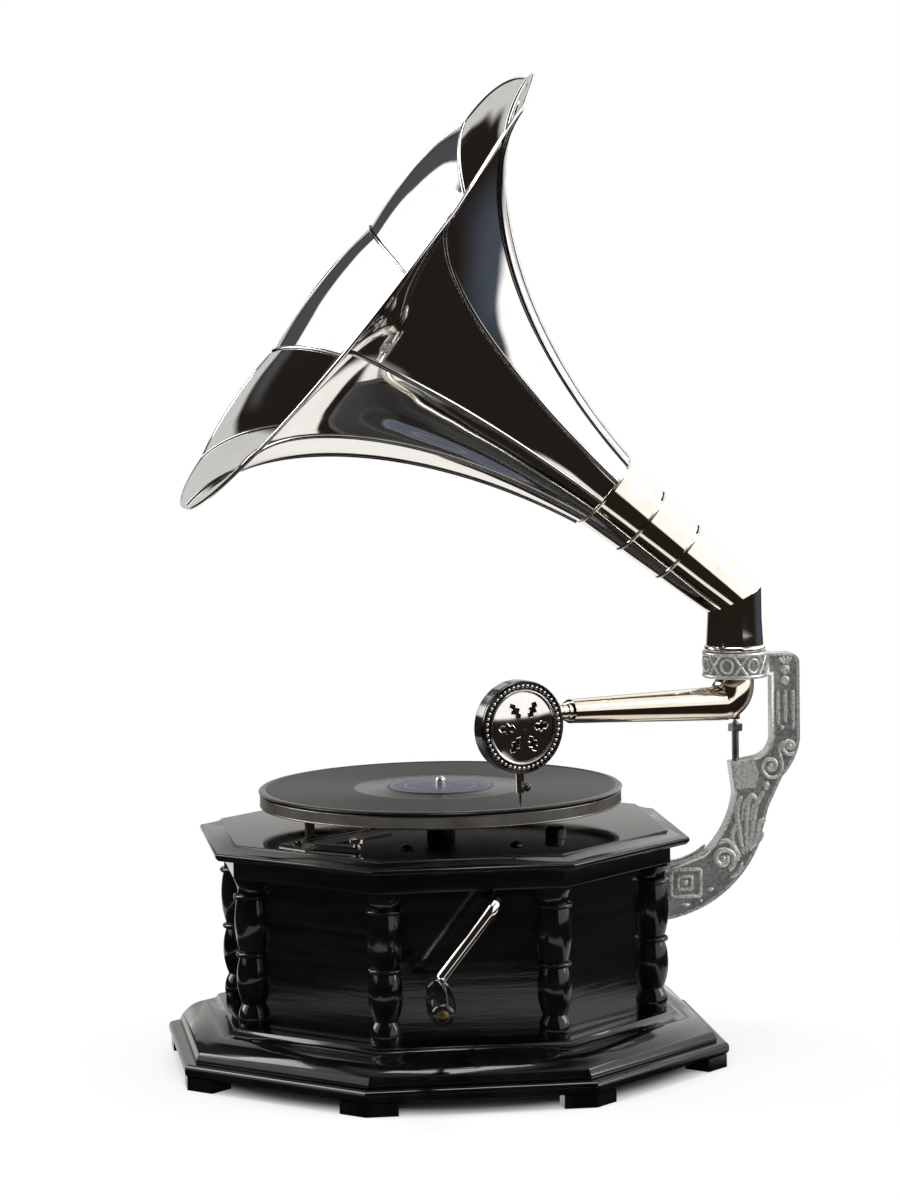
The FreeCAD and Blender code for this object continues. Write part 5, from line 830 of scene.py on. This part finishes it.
ARM_MIDDLE = 245
BLOCK = ((208.6, 182.0), (223.5, 183.0), (226.0, 193), (222.6, 203.0), (207.0, 200.6))
BLOCK_X = 216
BLOCK_Z = 193
BLOCK_ROOT = 0.6
BLOCK_TAPER = 0.94
for side in (-1, 1):
    for fan in (-38, -14, 14, 38):
        lean = math.radians(fan)
        rib(side, [(ARM_MIDDLE + 1.0 * math.sin(lean), 270.6),
                   (ARM_MIDDLE + 3.6 * math.sin(lean) * 1.4, 272.4 + math.cos(lean)),
                   (ARM_MIDDLE + 6.4 * math.sin(lean), 270.6 + 6.0 * math.cos(lean))], 1.1)
    boss(side, ARM_MIDDLE, 266.4, 3.5, 3.5, 1.35)
    boss(side, ARM_MIDDLE, 258.8, 3.3, 3.3, 1.35)
    for top_x, foot_x, foot in ((239.6, 239.9, 227), (ARM_MIDDLE, ARM_MIDDLE, 229), (250.4, 250.6, 223)):
        rib(side, [(top_x, 251.5), (top_x, 240), (foot_x, foot)], 1.15, 0.8, 0.6)
    boss(side, 242.6, 225.2, 1.7, 1.7, 1.2)
    boss(side, 247.8, 211.5, 2.6, 2.6, 1.35)
    rib(side, volute(247.6, 211.6, 2.9, 6.0, -60, 1.05), 1.15, 0.5, 0.9, 3)
    rib(side, [(243.4, 216.0), (240.2, 210.5), (241.6, 203.5), (242.4, 196.0), (238.6, 190.6), (232.0, 190.8),
               (228.4, 195.4)] + volute(234.2, 198.4, 5.9, 2.6, 190, -1.0, 16), 1.2, 0.6, 0.5, 4)
    boss(side, 234.2, 198.4, 2.1, 2.1, 1.35)
    boss(side, 231.0, 184.2, 2.3, 3.1, 1.3)
    rib(side, [(212.1, 134.5), (206.4, 144.0), (206.2, 151.5), (209.3, 157.6)], 1.5, 0.4, 0.7)
    rib(side, [(214.2, 135.8), (211.2, 152.5), (209.6, 167.0), (212.8, 178.0)], 1.6, 0.3, 0.6)
    rib(side, [(216.3, 137.1), (216.6, 157.8), (217.4, 172.4), (220.6, 178.0), (223.6, 174.4)], 1.6, 0.3, 0.6)
    rib(side, [(218.0, 139.0), (221.2, 157.0), (223.4, 170.0), (229.0, 180.4)], 1.6, 0.3, 0.6)
    rib(side, [(218.4, 138.4), (223.6, 148.0), (225.6, 157.6), (229.8, 160.4)], 1.6, 0.3, 0.8)
    rib(side, [(219.4, 140.5), (225.4, 145.5), (228.6, 151.5)], 1.2, 0.4, 0.4)
    rib(side, [(213.4, 160.0), (213.9, 169.0), (216.0, 175.0)], 0.9, 0.4, 0.4)
    rib(side, [(219.6, 160.0), (220.8, 168.0), (222.0, 171.5)], 0.9, 0.4, 0.4)
    rib(side, [(210.4, 131.4), (207.2, 141.0), (202.0, 146.4), (195.6, 144.6)], 1.5, 0.5, 0.6)
    rib(side, [(213.0, 130.6), (210.6, 123.6), (204.0, 119.4)], 1.2, 0.6, 0.4)
    rib(side, volute(199.4, 133.4, 9.2, 3.0, -65, 1.3, 30), 1.75, 0.8, 0.6, 3)
    boss(side, 199.4, 133.4, 2.6, 2.6, 1.7)
    boss(side, 190.0, 112.0, 2.6, 1.5, 1.2)
    boss(side, 172.0, 101.5, 3.4, 1.4, 1.3)
    boss(side, 183.0, 104.0, 1.4, 1.4, 1.2)
    rib(side, [(158.0, 130.2), (171.0, 132.0), (182.0, 136.6), (188.6, 142.0)], 1.2, 0.7, 0.4)
    for left, far, low, high, thick in ((162, 183, 107.5, 126.6, 1.5), (167.0, 176.8, 112.6, 121.6, 1.3)):
        fret = on_face(side, [(left, low), (far, low), (far, high), (left, high)])
        run = []
        for number, corner in enumerate(fret):
            after = fret[(number + 1) % 4]
            run += [corner + (after - corner) * share for share in (0.03, 0.35, 0.65, 0.97)]
        swept(relief, run, [thick * MM] * len(run), 8, True)
    boss(side, 171.9, 117.6, 2.6, 2.0, 1.1)
    low_row = [relief.verts.new(Vector((x, side * (field - BLOCK_ROOT), z)) * MM) for x, z in BLOCK]
    high_row = []
    for x, z in BLOCK:
        top_x = BLOCK_X + (x - BLOCK_X) * BLOCK_TAPER
        top_z = BLOCK_Z + (z - BLOCK_Z) * BLOCK_TAPER
        high_row.append(relief.verts.new(Vector((top_x, side * BRACKET_HALF, top_z)) * MM))
    relief.faces.new(low_row)
    relief.faces.new(high_row)
    bridge(relief, low_row, high_row)

ORNAMENTS = 14
ORNAMENT_STEP = math.tau / ORNAMENTS
OVAL_WIDE = 4.2
OVAL_TALL = 4.8
OVAL_STEPS = 28
OVAL_BAR = 1.0
CROSS_BAR = 1.05
CROSS_OVER = 0.4
ORNAMENT_GAP = math.radians(14)
FILLET = 2.5
FILLET_EDGE = RING_RADIUS - 0.4
FILLET_ROOT = RING_GROUND - 0.3
RING_SIDES = 96
for level in (RING_BOTTOM + FILLET / 2, RING_TOP - FILLET / 2):
    fillet = [(FILLET_ROOT, level - FILLET / 2), (FILLET_EDGE, level - FILLET / 2),
              (RING_RADIUS, level - FILLET / 4), (RING_RADIUS, level + FILLET / 4),
              (FILLET_EDGE, level + FILLET / 2), (FILLET_ROOT, level + FILLET / 2)]
    swing(relief, fillet, RING_SIDES, Matrix.Translation(ring_axis))


def on_ring(angle, level):
    return ring_axis + polar(RING_GROUND, angle, level)


ring_middle = (RING_BOTTOM + RING_TOP) / 2
ring_half = (RING_TOP - RING_BOTTOM) / 2 - FILLET
for number in range(ORNAMENTS):
    angle = -math.pi / 2 + number * ORNAMENT_STEP
    if abs(math.remainder(angle, math.tau)) < ORNAMENT_GAP:
        continue
    if number % 2:
        oval = [on_ring(angle + OVAL_WIDE / RING_GROUND * math.cos(math.tau * step / OVAL_STEPS),
                        ring_middle + OVAL_TALL * math.sin(math.tau * step / OVAL_STEPS))
                for step in range(OVAL_STEPS)]
        swept(relief, oval, [OVAL_BAR * MM] * OVAL_STEPS, 8, True)
        continue
    for slant in (-1, 1):
        lean = slant * ORNAMENT_STEP * 0.5
        bar = [on_ring(angle + lean * share, ring_middle + (ring_half + CROSS_OVER) * share)
               for share in (-1, -0.6, -0.2, 0.2, 0.6, 1)]
        swept(relief, bar, [CROSS_BAR * MM] * len(bar), 8)
new_piece("bracket_relief", relief, raised_casting, "cabinet", "antique_casting", sharp=50)

# Pivot screw. A plain dark steel screw up through the bracket's shelf, held by a lock nut; the tonearm turns
# on its point.
screw_steel = plate("dark_screw_steel", (0.34, 0.335, 0.33, 1), (0.55, 0.54, 0.53, 1), 0.25, 0.42, 0.1)
dress(screw_steel, "pivot_screw", "pivot_nut")

# Tonearm. A drawn brass tube, nickelled warm, that turns down out of the bracket ring in a close, full elbow
# and tapers towards the sound box; a boss under the elbow sits on the pivot screw.
arm_nickel = plate("warm_nickel", (0.80, 0.73, 0.61, 1), (0.88, 0.81, 0.70, 1), 0.035, 0.10, 0.03)
dress(arm_nickel, "tonearm_sleeve", "crook")
ARM_HEADING = math.radians(208.79)
ARM_NECK_RADIUS = 13.2
ARM_ELBOW_RADIUS = 12.2
ARM_BULGE = 1.8
ARM_END_RADIUS = 8.2
ARM_BEND = 17
ARM_REACH = 148
ARM_RISE = 0.047
ARM_LEVEL = 243.8
ARM_NECK_TOP = 277
ARM_SIDES = 56
NECK_STEPS = 6
ELBOW_STEPS = 26
STRAIGHT_STEPS = 24
BOSS_RADIUS = 3.4
BOSS_TOP = 240
BOSS_SIDES = 32
BOSS_ARRIS = 0.5
PIVOT_CLEAR = 0.15
arm_way = Vector((math.cos(ARM_HEADING), math.sin(ARM_HEADING), 0))
bend_start = ARM_LEVEL + ARM_BEND
arm_path = []
arm_radii = []
for step in range(NECK_STEPS + 1):
    share = step / NECK_STEPS
    arm_path.append(Vector((RING_X, 0, ARM_NECK_TOP + (bend_start - ARM_NECK_TOP) * share)))
    arm_radii.append(ARM_NECK_RADIUS)
for step in range(1, ELBOW_STEPS + 1):
    share = step / ELBOW_STEPS
    turn = share * (math.pi / 2 - math.atan(ARM_RISE))
    arm_path.append(Vector((RING_X, 0, bend_start)) + arm_way * ARM_BEND * (1 - math.cos(turn))
                    - Vector((0, 0, ARM_BEND * math.sin(turn))))
    arm_radii.append(ARM_NECK_RADIUS + (ARM_ELBOW_RADIUS - ARM_NECK_RADIUS) * share ** 1.3
                     + ARM_BULGE * math.sin(math.pi * share))
elbow_end = arm_path[-1].copy()
elbow_reach = (elbow_end - Vector((RING_X, 0, elbow_end.z))).length
for step in range(1, STRAIGHT_STEPS + 1):
    share = step / STRAIGHT_STEPS
    along = (ARM_REACH - elbow_reach) * share
    arm_path.append(elbow_end + arm_way * along + Vector((0, 0, ARM_RISE * along)))
    arm_radii.append(ARM_ELBOW_RADIUS + (ARM_END_RADIUS - ARM_ELBOW_RADIUS) * share)
arm_shape = bmesh.new()
swept(arm_shape, [point * MM for point in arm_path], [radius * MM for radius in arm_radii], ARM_SIDES)
pivot_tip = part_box("pivot_screw")[1][2] / MM + PIVOT_CLEAR
boss_outline = [(0, pivot_tip), (BOSS_RADIUS, pivot_tip), (BOSS_RADIUS, BOSS_TOP), (0, BOSS_TOP)]
swing(arm_shape, eased(boss_outline, BOSS_ARRIS), BOSS_SIDES, Matrix.Translation(ring_axis))
new_piece("tonearm_drawn_tube", arm_shape, arm_nickel, "tonearm", "nickel", "tonearm_tube")

# Sound box. A plated brass case with a beaded rim, rubber gaskets, a mica diaphragm and a domed cover pierced
# with six leaves; the needle bar hangs below and takes a steel needle with a thumb screw.
head_nickel = plate("sound_box_nickel", (0.50, 0.49, 0.47, 1), (0.70, 0.69, 0.66, 1), 0.06, 0.18, 0.06)
dark_nickel = plate("darkened_nickel", (0.10, 0.10, 0.10, 1), (0.20, 0.195, 0.19, 1), 0.12, 0.26, 0.06)
cover_nickel = plate("cover_nickel", (0.80, 0.78, 0.74, 1), (0.90, 0.88, 0.84, 1), 0.03, 0.09, 0.05)
# The diaphragm's dark brown is partly the mica's own tint and partly painted shade, standing for the shade
# inside the closed sound box.
mica = plain("mica_with_painted_shade", (0.05, 0.042, 0.032, 1), (0.10, 0.085, 0.065, 1), 120.0, 0.15, 0.3, 0.05)
gasket_rubber = plain("gasket_rubber", (0.02, 0.012, 0.009, 1), (0.05, 0.03, 0.022, 1), 200.0, 0.5, 0.7, 0.1)
dress(head_nickel, "sound_box_shell")
dress(dark_metal, "needle_screw", "needle")
dress(mica, "diaphragm")
dress(gasket_rubber, "diaphragm_gaskets")
HEAD_SPOT = Vector((38.65, -114.70, 246.5)) * MM
HEAD_FACE = Vector((0.3712, -0.9285, 0)).normalized()
HEAD_UP = Vector((0, 0, 1))
head_axes = Matrix((HEAD_UP.cross(HEAD_FACE), HEAD_UP, HEAD_FACE)).transposed().to_4x4()
head_turn = Matrix.Translation(HEAD_SPOT) @ head_axes
BEZEL_OUT = 31.3
BEZEL_IN = 23.7
BEZEL_BACK = 4.05
BEZEL_FRONT = 6.6
BEZEL_SIDES = 128
CHANNEL_OUT = BEZEL_OUT - 1.1
CHANNEL_IN = BEZEL_IN + 1.7
CHANNEL_FLOOR = BEZEL_FRONT - 0.8
RING_BACK = CHANNEL_FLOOR - 0.6
BEADS = 48
BEAD_RADIUS = 1.35
BEAD_RISE = 0.75
bezel_outline = [(BEZEL_IN, BEZEL_BACK), (BEZEL_OUT, BEZEL_BACK)]
bezel_outline += bow(bezel_outline[-1], (BEZEL_OUT, BEZEL_FRONT - 0.5), (BEZEL_OUT - 0.7, BEZEL_FRONT), 5)
bezel_outline += [(CHANNEL_OUT, CHANNEL_FLOOR), (CHANNEL_IN, CHANNEL_FLOOR), (BEZEL_IN, CHANNEL_FLOOR)]
bright_ring = [(BEZEL_IN, RING_BACK), (CHANNEL_IN, RING_BACK), (CHANNEL_IN, BEZEL_FRONT - 0.4)]
bright_ring += bow(bright_ring[-1], (BEZEL_IN + 1.0, BEZEL_FRONT), (BEZEL_IN, BEZEL_FRONT - 0.7), 5)
bezel_shape = bmesh.new()
swing(bezel_shape, bezel_outline, BEZEL_SIDES, head_turn)
plain_faces = len(bezel_shape.faces)
swing(bezel_shape, bright_ring, BEZEL_SIDES, head_turn)
bead_size = Matrix.Diagonal((BEAD_RADIUS * MM, BEAD_RADIUS * MM, BEAD_RISE * MM, 1))
for number in range(BEADS):
    spot = polar((CHANNEL_IN + CHANNEL_OUT) / 2, math.tau * number / BEADS, CHANNEL_FLOOR)
    bmesh.ops.create_uvsphere(bezel_shape, u_segments=12, v_segments=8, radius=1.0,
                              matrix=head_turn @ Matrix.Translation(spot) @ bead_size)
bezel_shape.faces.ensure_lookup_table()
for face in bezel_shape.faces[plain_faces:]:
    face.material_index = 1
new_piece("beaded_bezel", bezel_shape, dark_nickel, "sound_box", "nickel", "sound_box_bezel",
          second=head_nickel)

COVER_RADIUS = 23.6
COVER_SEAT = 5.3
COVER_RISE = 3.0
COVER_SHEET = 0.6
COVER_RINGS = ((COVER_RADIUS, 120), (22.3, 110), (20.2, 90), (18, 80), (15, 64), (12, 52), (9, 40), (6, 28),
               (3.2, 16), (1.2, 8))
DIMPLE_DEPTH = 0.5
DIMPLE_RADIUS = 1.6
LEAVES = 6
LEAF_REACH = 13.2
LEAF_LENGTH = 12.2
LEAF_HALF = 3.6
LEAF_WIRE = 0.26
LEAF_POINTS = 22
LEAF_FULLNESS = 0.75
LOBES = 3
LOBE_DEPTH = 0.26
LOBE_START = 0.17
LEAF_CLEAR = 0.7
LEAVES_OUT = 20


def leaf(angle):
    """The outline of one pierced leaf with three lobes on each side, its stalk towards the middle."""
    edge = []
    for way in (1, -1):
        for step in range(LEAF_POINTS):
            share = step / LEAF_POINTS if way > 0 else 1 - step / LEAF_POINTS
            lobes = 1 - LOBE_DEPTH + LOBE_DEPTH * math.cos(math.tau * LOBES * (share - LOBE_START))
            wide = way * LEAF_HALF * math.sin(math.pi * share) ** LEAF_FULLNESS * lobes
            long = LEAF_REACH + LEAF_LENGTH * (share - 0.5)
            edge.append(Vector((long * math.cos(angle) - wide * math.sin(angle),
                                long * math.sin(angle) + wide * math.cos(angle))))
    return edge


def inside(spot, edge):
    """Whether a point lies within a closed outline."""
    crossings = 0
    for number, here in enumerate(edge):
        before = edge[number - 1]
        if (here.y > spot.y) != (before.y > spot.y):
            cross_x = here.x + (spot.y - here.y) / (before.y - here.y) * (before.x - here.x)
            crossings += spot.x < cross_x
    return crossings % 2 == 1


def on_cover(spot, lift):
    """A point on the dome of the cover, lifted by so many millimetres."""
    level = COVER_SEAT + COVER_RISE * (1 - (spot.length / COVER_RADIUS) ** 2) + lift
    return head_turn @ (Vector((spot.x, spot.y, level)) * MM)


leaves = [leaf(math.tau * number / LEAVES) for number in range(LEAVES)]
spots = []
cuts = []
for edge in leaves:
    start = len(spots)
    spots += edge
    cuts += [(start + number, start + (number + 1) % len(edge)) for number in range(len(edge))]
for radius, count in COVER_RINGS:
    for number in range(count):
        angle = math.tau * (number + 0.5) / count
        spot = Vector((radius * math.cos(angle), radius * math.sin(angle)))
        gap = min((spot - point).length for edge in leaves for point in edge)
        crowded = radius < LEAVES_OUT and gap <= LEAF_CLEAR
        if not crowded and not any(inside(spot, edge) for edge in leaves):
            spots.append(spot)
corners, _, sheets, _, _, _ = geometry.delaunay_2d_cdt(spots, cuts, [], 0, 1e-5)
cover_shape = bmesh.new()
cover_corners = []
for corner in corners:
    dimple = DIMPLE_DEPTH * math.exp(-(corner.length / DIMPLE_RADIUS) ** 2)
    cover_corners.append(cover_shape.verts.new(on_cover(corner, -dimple)))
for sheet in sheets:
    middle = sum((corners[number] for number in sheet), Vector((0, 0))) / len(sheet)
    if middle.length < COVER_RADIUS and not any(inside(middle, edge) for edge in leaves):
        cover_shape.faces.new([cover_corners[number] for number in sheet])
loose = [corner for corner in cover_shape.verts if not corner.link_faces]
bmesh.ops.delete(cover_shape, geom=loose, context="VERTS")
for face in cover_shape.faces:
    face.normal_update()
    if face.normal.dot(HEAD_FACE) < 0:
        face.normal_flip()
bmesh.ops.solidify(cover_shape, geom=cover_shape.faces[:], thickness=COVER_SHEET * MM)
for edge in leaves:
    turned_up = [on_cover(point, LEAF_WIRE * 0.5) for point in edge]
    swept(cover_shape, turned_up, [LEAF_WIRE * MM] * len(turned_up), 6, True)
new_piece("pierced_cover", cover_shape, cover_nickel, "sound_box", "nickel", "sound_box_cover", sharp=40)

# Horn elbow and throat. Seamed sheet-metal tubes: a short elbow that drops into the bracket ring, and three
# tapered lengths above its mitre, each ending in a rolled bead that takes the next.
horn_nickel = plate("horn_nickel", (0.86, 0.85, 0.84, 1), (0.93, 0.925, 0.915, 1), 0.02, 0.06, 0.02)
throat_nickel = plate("throat_nickel", (0.86, 0.82, 0.75, 1), (0.93, 0.90, 0.84, 1), 0.025, 0.075, 0.03)
MITRE_LEVEL = 317
MITRE_CLEAR = 12
HORN_BEND = math.radians(49.6)
MITRE_SLOPE = math.tan(HORN_BEND / 2)
TUBE_SHEET = 0.8
TUBE_SIDES = 72
THROAT = ((0, 19.0), (53.7, 22.8), (88, 25.2), (121.8, 27.6))
BEAD_ROLL = 2.6
BEAD_PROUD = 1.2
BEAD_STEPS = 7
horn_turn = Matrix.Translation(Vector((RING_X, 0, MITRE_LEVEL)) * MM) @ Matrix.Rotation(-HORN_BEND, 4, "Y")


def mitred_tube(shape, rows, turn, slope):
    """A tube of (radius, level) rows from its mitre on; the first and last row are cut at the slope given."""
    rings = []
    for number, (radius, level) in enumerate(rows):
        cut = slope if number in (0, len(rows) - 1) else 0
        angles = [math.tau * step / TUBE_SIDES for step in range(TUBE_SIDES)]
        rings.append([shape.verts.new(turn @ polar(radius, angle, level + radius * math.cos(angle) * cut))
                      for angle in angles])
    for low, high in zip(rings, rings[1:] + rings[:1]):
        bridge(shape, low, high)


throat_rows = [(THROAT[0][1], 0)]
for (low, low_radius), (high, high_radius) in zip(THROAT, THROAT[1:]):
    for share in (0.25, 0.5, 0.75):
        level = low + (high - BEAD_ROLL - low) * share
        if level > MITRE_CLEAR:
            throat_rows.append((low_radius + (high_radius - low_radius) * share, level))
    throat_rows.append((high_radius - 0.1, high - BEAD_ROLL))
    for step in range(1, BEAD_STEPS + 1):
        share = step / BEAD_STEPS
        proud = BEAD_PROUD * math.sin(math.pi * share)
        throat_rows.append((high_radius + proud, high - BEAD_ROLL * (1 - share)))
throat_rows += [(radius - TUBE_SHEET, level) for level, radius in THROAT[:0:-1]]
throat_rows += [(THROAT[0][1] - TUBE_SHEET, MITRE_CLEAR), (THROAT[0][1] - TUBE_SHEET, 0)]
throat_shape = bmesh.new()
mitred_tube(throat_shape, throat_rows, horn_turn, -MITRE_SLOPE)
new_piece("throat_lengths", throat_shape, throat_nickel, "horn", "nickel", "horn_throat")

ELBOW_RADIUS = 19.0
ELBOW_WAIST = 303
ELBOW_FOOT = 292
ELBOW_FOOT_RADIUS = 20.2
ELBOW_BEAD_BOTTOM = 280.3
ELBOW_BEAD_TOP = 284.6
ELBOW_BEAD_RADIUS = 21.6
ELBOW_BEAD_ROLL = 1.9
ELBOW_BEAD_HALF = 2.1
ELBOW_BEAD_STEPS = 8
ELBOW_BEAD_TURN = math.radians(75)
SPIGOT_RADIUS = 17.6
SPIGOT_BORE = SPIGOT_RADIUS - 1.6
spigot_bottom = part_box("horn_elbow")[0][2] / MM
elbow_rows = [(ELBOW_RADIUS, MITRE_LEVEL), (ELBOW_RADIUS + 0.2, ELBOW_WAIST),
              (ELBOW_FOOT_RADIUS - 0.4, ELBOW_FOOT), (ELBOW_FOOT_RADIUS, ELBOW_BEAD_TOP + 0.4)]
for step in range(ELBOW_BEAD_STEPS + 1):
    angle = ELBOW_BEAD_TURN * (1 - 2 * step / ELBOW_BEAD_STEPS)
    elbow_rows.append((ELBOW_BEAD_RADIUS - ELBOW_BEAD_ROLL + ELBOW_BEAD_ROLL * math.cos(angle),
                       (ELBOW_BEAD_TOP + ELBOW_BEAD_BOTTOM) / 2 + ELBOW_BEAD_HALF * math.sin(angle)))
elbow_rows += [(SPIGOT_RADIUS, ELBOW_BEAD_BOTTOM), (SPIGOT_RADIUS, spigot_bottom + 0.6)]
elbow_rows += [(SPIGOT_RADIUS - 0.5, spigot_bottom), (SPIGOT_BORE, spigot_bottom), (SPIGOT_BORE, ELBOW_FOOT)]
elbow_rows += [(ELBOW_RADIUS - TUBE_SHEET, MITRE_LEVEL)]
elbow_shape = bmesh.new()
mitred_tube(elbow_shape, elbow_rows, Matrix.Translation(ring_axis), MITRE_SLOPE)
new_piece("elbow_tube", elbow_shape, throat_nickel, "horn", "nickel", "horn_elbow")

# Bell. Ten gores of thin plated sheet, hammered to a flare and left a little flatter across than the round,
# so that each mirrors the room on its own.
GORES = 10
GORE_HALF = math.pi / GORES
BELL_START = 121.8
BELL_LENGTH = 218
BELL_MOUTH = 28.8
BELL_SLOPE = 44
BELL_FLARE = 116.6
SHEET = 0.8
TUCK = 0.25
FLATTEN = 0.5
FLAT_BY = math.radians(35)
MOUTH_FROM = math.radians(45)
MOUTH_BY = math.radians(84)
SCALLOP = 0.012
LOOSE_GORE = 6
LOOSE_FLATTEN = 0.15
TWIST = math.radians(2.6)
TWIST_FROM = math.radians(40)
REACH = 3.6
REACH_UP = 3.1
REACH_FAR = 1.3
REACH_TOP = 4.6
REACH_MIDDLE = 4.2
FULLEST = math.radians(40)
TOP_IN = 1.5
BOTTOM_OUT = 4.5
TOP_SAG = 5.0
DENT = 0.5
WIDE_DENTS = 0.016
SMALL_DENTS = 0.05
SMALL_DENT_SHARE = 0.25
WIDE_SHIFT = 3.7
SMALL_SHIFT = 5.1
ROWS = 56
COLUMNS = 16
ROW_CROWDING = 0.92


def bell(turn):
    """Radius and level of the outer face at a turn of 0 to 90 degrees along the flare."""
    return (BELL_MOUTH + BELL_SLOPE * math.sin(turn) + BELL_FLARE * (1 - math.cos(turn)),
            BELL_START + BELL_LENGTH * math.sin(turn))


def bell_lean(turn):
    """Outward direction of the outer face, as (radial, along)."""
    radial = BELL_SLOPE * math.cos(turn) + BELL_FLARE * math.sin(turn)
    along = BELL_LENGTH * math.cos(turn)
    return Vector((along, -radial)).normalized()


def soft_share(value, low, high):
    share = min(max((value - low) / (high - low), 0.0), 1.0)
    return share * share * (3 - 2 * share)


def spread(turn, off, flatten=FLATTEN):
    """How far the sheet reaches out, against the round: flat across half way, scalloped at the mouth."""
    flat = flatten * soft_share(turn, 0.0, FLAT_BY) * (1 - math.cos(GORE_HALF) / math.cos(off))
    scallop = SCALLOP * (off / GORE_HALF) ** 2
    mouth = soft_share(turn, MOUTH_FROM, MOUTH_BY)
    return 1 - flat * (1 - mouth) - scallop * mouth


def reach_out(turn, angle, off):
    """How far the mouth runs on past the plain flare, as (radial, along); most at the middle of a gore."""
    share = max(turn / (math.pi / 2) * 2 - 1, 0) ** 2
    top = max(math.cos(angle), 0)
    bottom = max(-math.cos(angle), 0)
    along = REACH + REACH_UP * math.cos(angle) + REACH_FAR * math.sin(angle) - REACH_TOP * top ** 8
    along += REACH_MIDDLE * (0.5 + 0.5 * math.cos(angle - FULLEST)) * (1 - (off / GORE_HALF) ** 2)
    out = share * (BOTTOM_OUT * bottom ** 2 - TOP_IN * top ** 2) - TOP_SAG * top ** 2 * math.sin(2 * turn)
    return out, share * along


def twist(turn):
    """The gores lean a little round the axis towards the mouth."""
    return TWIST * soft_share(turn, TWIST_FROM, math.pi / 2)


def on_bell(turn, angle, off, inward, flatten=FLATTEN):
    """A point of the bell so many millimetres within its outer face, off the middle of its gore."""
    radius, level = bell(turn)
    lean = bell_lean(turn)
    wider, further = reach_out(turn, angle, off)
    wide = radius * spread(turn, off, flatten) + wider
    return horn_turn @ polar(wide - lean.x * inward, angle, level + further - lean.y * inward)


gores = bmesh.new()
for gore in range(GORES):
    middle = (2 * gore + 1) * GORE_HALF
    flatten = LOOSE_FLATTEN if gore == LOOSE_GORE else FLATTEN
    grids = []
    for inward in (0.0, SHEET):
        grid = []
        for row in range(ROWS + 1):
            turn = math.pi / 2 * (row / ROWS) ** ROW_CROWDING
            radius, level = bell(turn)
            line = []
            for column in range(COLUMNS + 1):
                share = column / COLUMNS * 2 - 1
                off = GORE_HALF * share
                angle = middle + off + twist(turn)
                calm = (1 - share ** 4) * min(turn * 2, 1.0)
                spot = Vector((radius * math.cos(angle), radius * math.sin(angle), level))
                dent = DENT * calm * noise.noise(spot * WIDE_DENTS + Vector((gore * WIDE_SHIFT, 0, 0)))
                small = noise.noise(spot * SMALL_DENTS + Vector((0, gore * SMALL_SHIFT, 0)))
                dent += DENT * SMALL_DENT_SHARE * calm * small
                line.append(gores.verts.new(on_bell(turn, angle, off, inward + TUCK - dent, flatten)))
            grid.append(line)
        grids.append(grid)
    outer, inner = grids
    for row in range(ROWS):
        for column in range(COLUMNS):
            gores.faces.new((outer[row][column], outer[row][column + 1], outer[row + 1][column + 1],
                             outer[row + 1][column]))
            gores.faces.new((inner[row][column], inner[row + 1][column], inner[row + 1][column + 1],
                             inner[row][column + 1]))
        for column, turned_round in ((0, False), (COLUMNS, True)):
            edge = (outer[row][column], outer[row + 1][column], inner[row + 1][column], inner[row][column])
            gores.faces.new(edge[::-1] if turned_round else edge)
    for row in (0, ROWS):
        for column in range(COLUMNS):
            gores.faces.new((outer[row][column], outer[row][column + 1], inner[row][column + 1],
                             inner[row][column]))
new_piece("bell_gores", gores, horn_nickel, "horn", "nickel", "horn_petals", sharp=50)

# Seams and rim. The gores are joined by folded and soldered seams, seen as a narrow bead outside and in, and
# the mouth is stiffened by turning the edge over a wire.
seam_nickel = plate("seam_nickel", (0.24, 0.235, 0.225, 1), (0.38, 0.37, 0.36, 1), 0.08, 0.16, 0.02)
SEAM_HALF = 1.9
SEAM_INWARD = 0.4
SEAM_ROWS = 60
SEAM_END = 0.995
SEAM_SIDES = 12
seam_shape = bmesh.new()
for gore in range(GORES):
    line = []
    for row in range(SEAM_ROWS + 1):
        turn = math.pi / 2 * (row / SEAM_ROWS) * SEAM_END
        line.append(on_bell(turn, 2 * gore * GORE_HALF + twist(turn), GORE_HALF, SEAM_INWARD))
    swept(seam_shape, line, [SEAM_HALF * MM] * len(line), SEAM_SIDES)
new_piece("folded_seams", seam_shape, seam_nickel, "horn", "nickel", "horn_seams")

WIRE = 1.3
WIRE_SET = 0.4
WIRE_SIDES = 12
RIM_STEPS = 16
rim_radius, rim_level = bell(math.pi / 2)
rim_line = []
for number in range(GORES * RIM_STEPS):
    angle = 2 * GORE_HALF * number / RIM_STEPS + TWIST
    off = 2 * GORE_HALF * ((number % RIM_STEPS) / RIM_STEPS) - GORE_HALF
    wider, further = reach_out(math.pi / 2, angle, off)
    reach = rim_radius * spread(math.pi / 2, off) + wider + WIRE_SET
    rim_line.append(horn_turn @ polar(reach, angle, rim_level + further + WIRE_SET))
rim_shape = bmesh.new()
swept(rim_shape, rim_line, [WIRE * MM] * len(rim_line), WIRE_SIDES, True)
new_piece("wired_rim", rim_shape, horn_nickel, "horn", "nickel", "horn_rim")
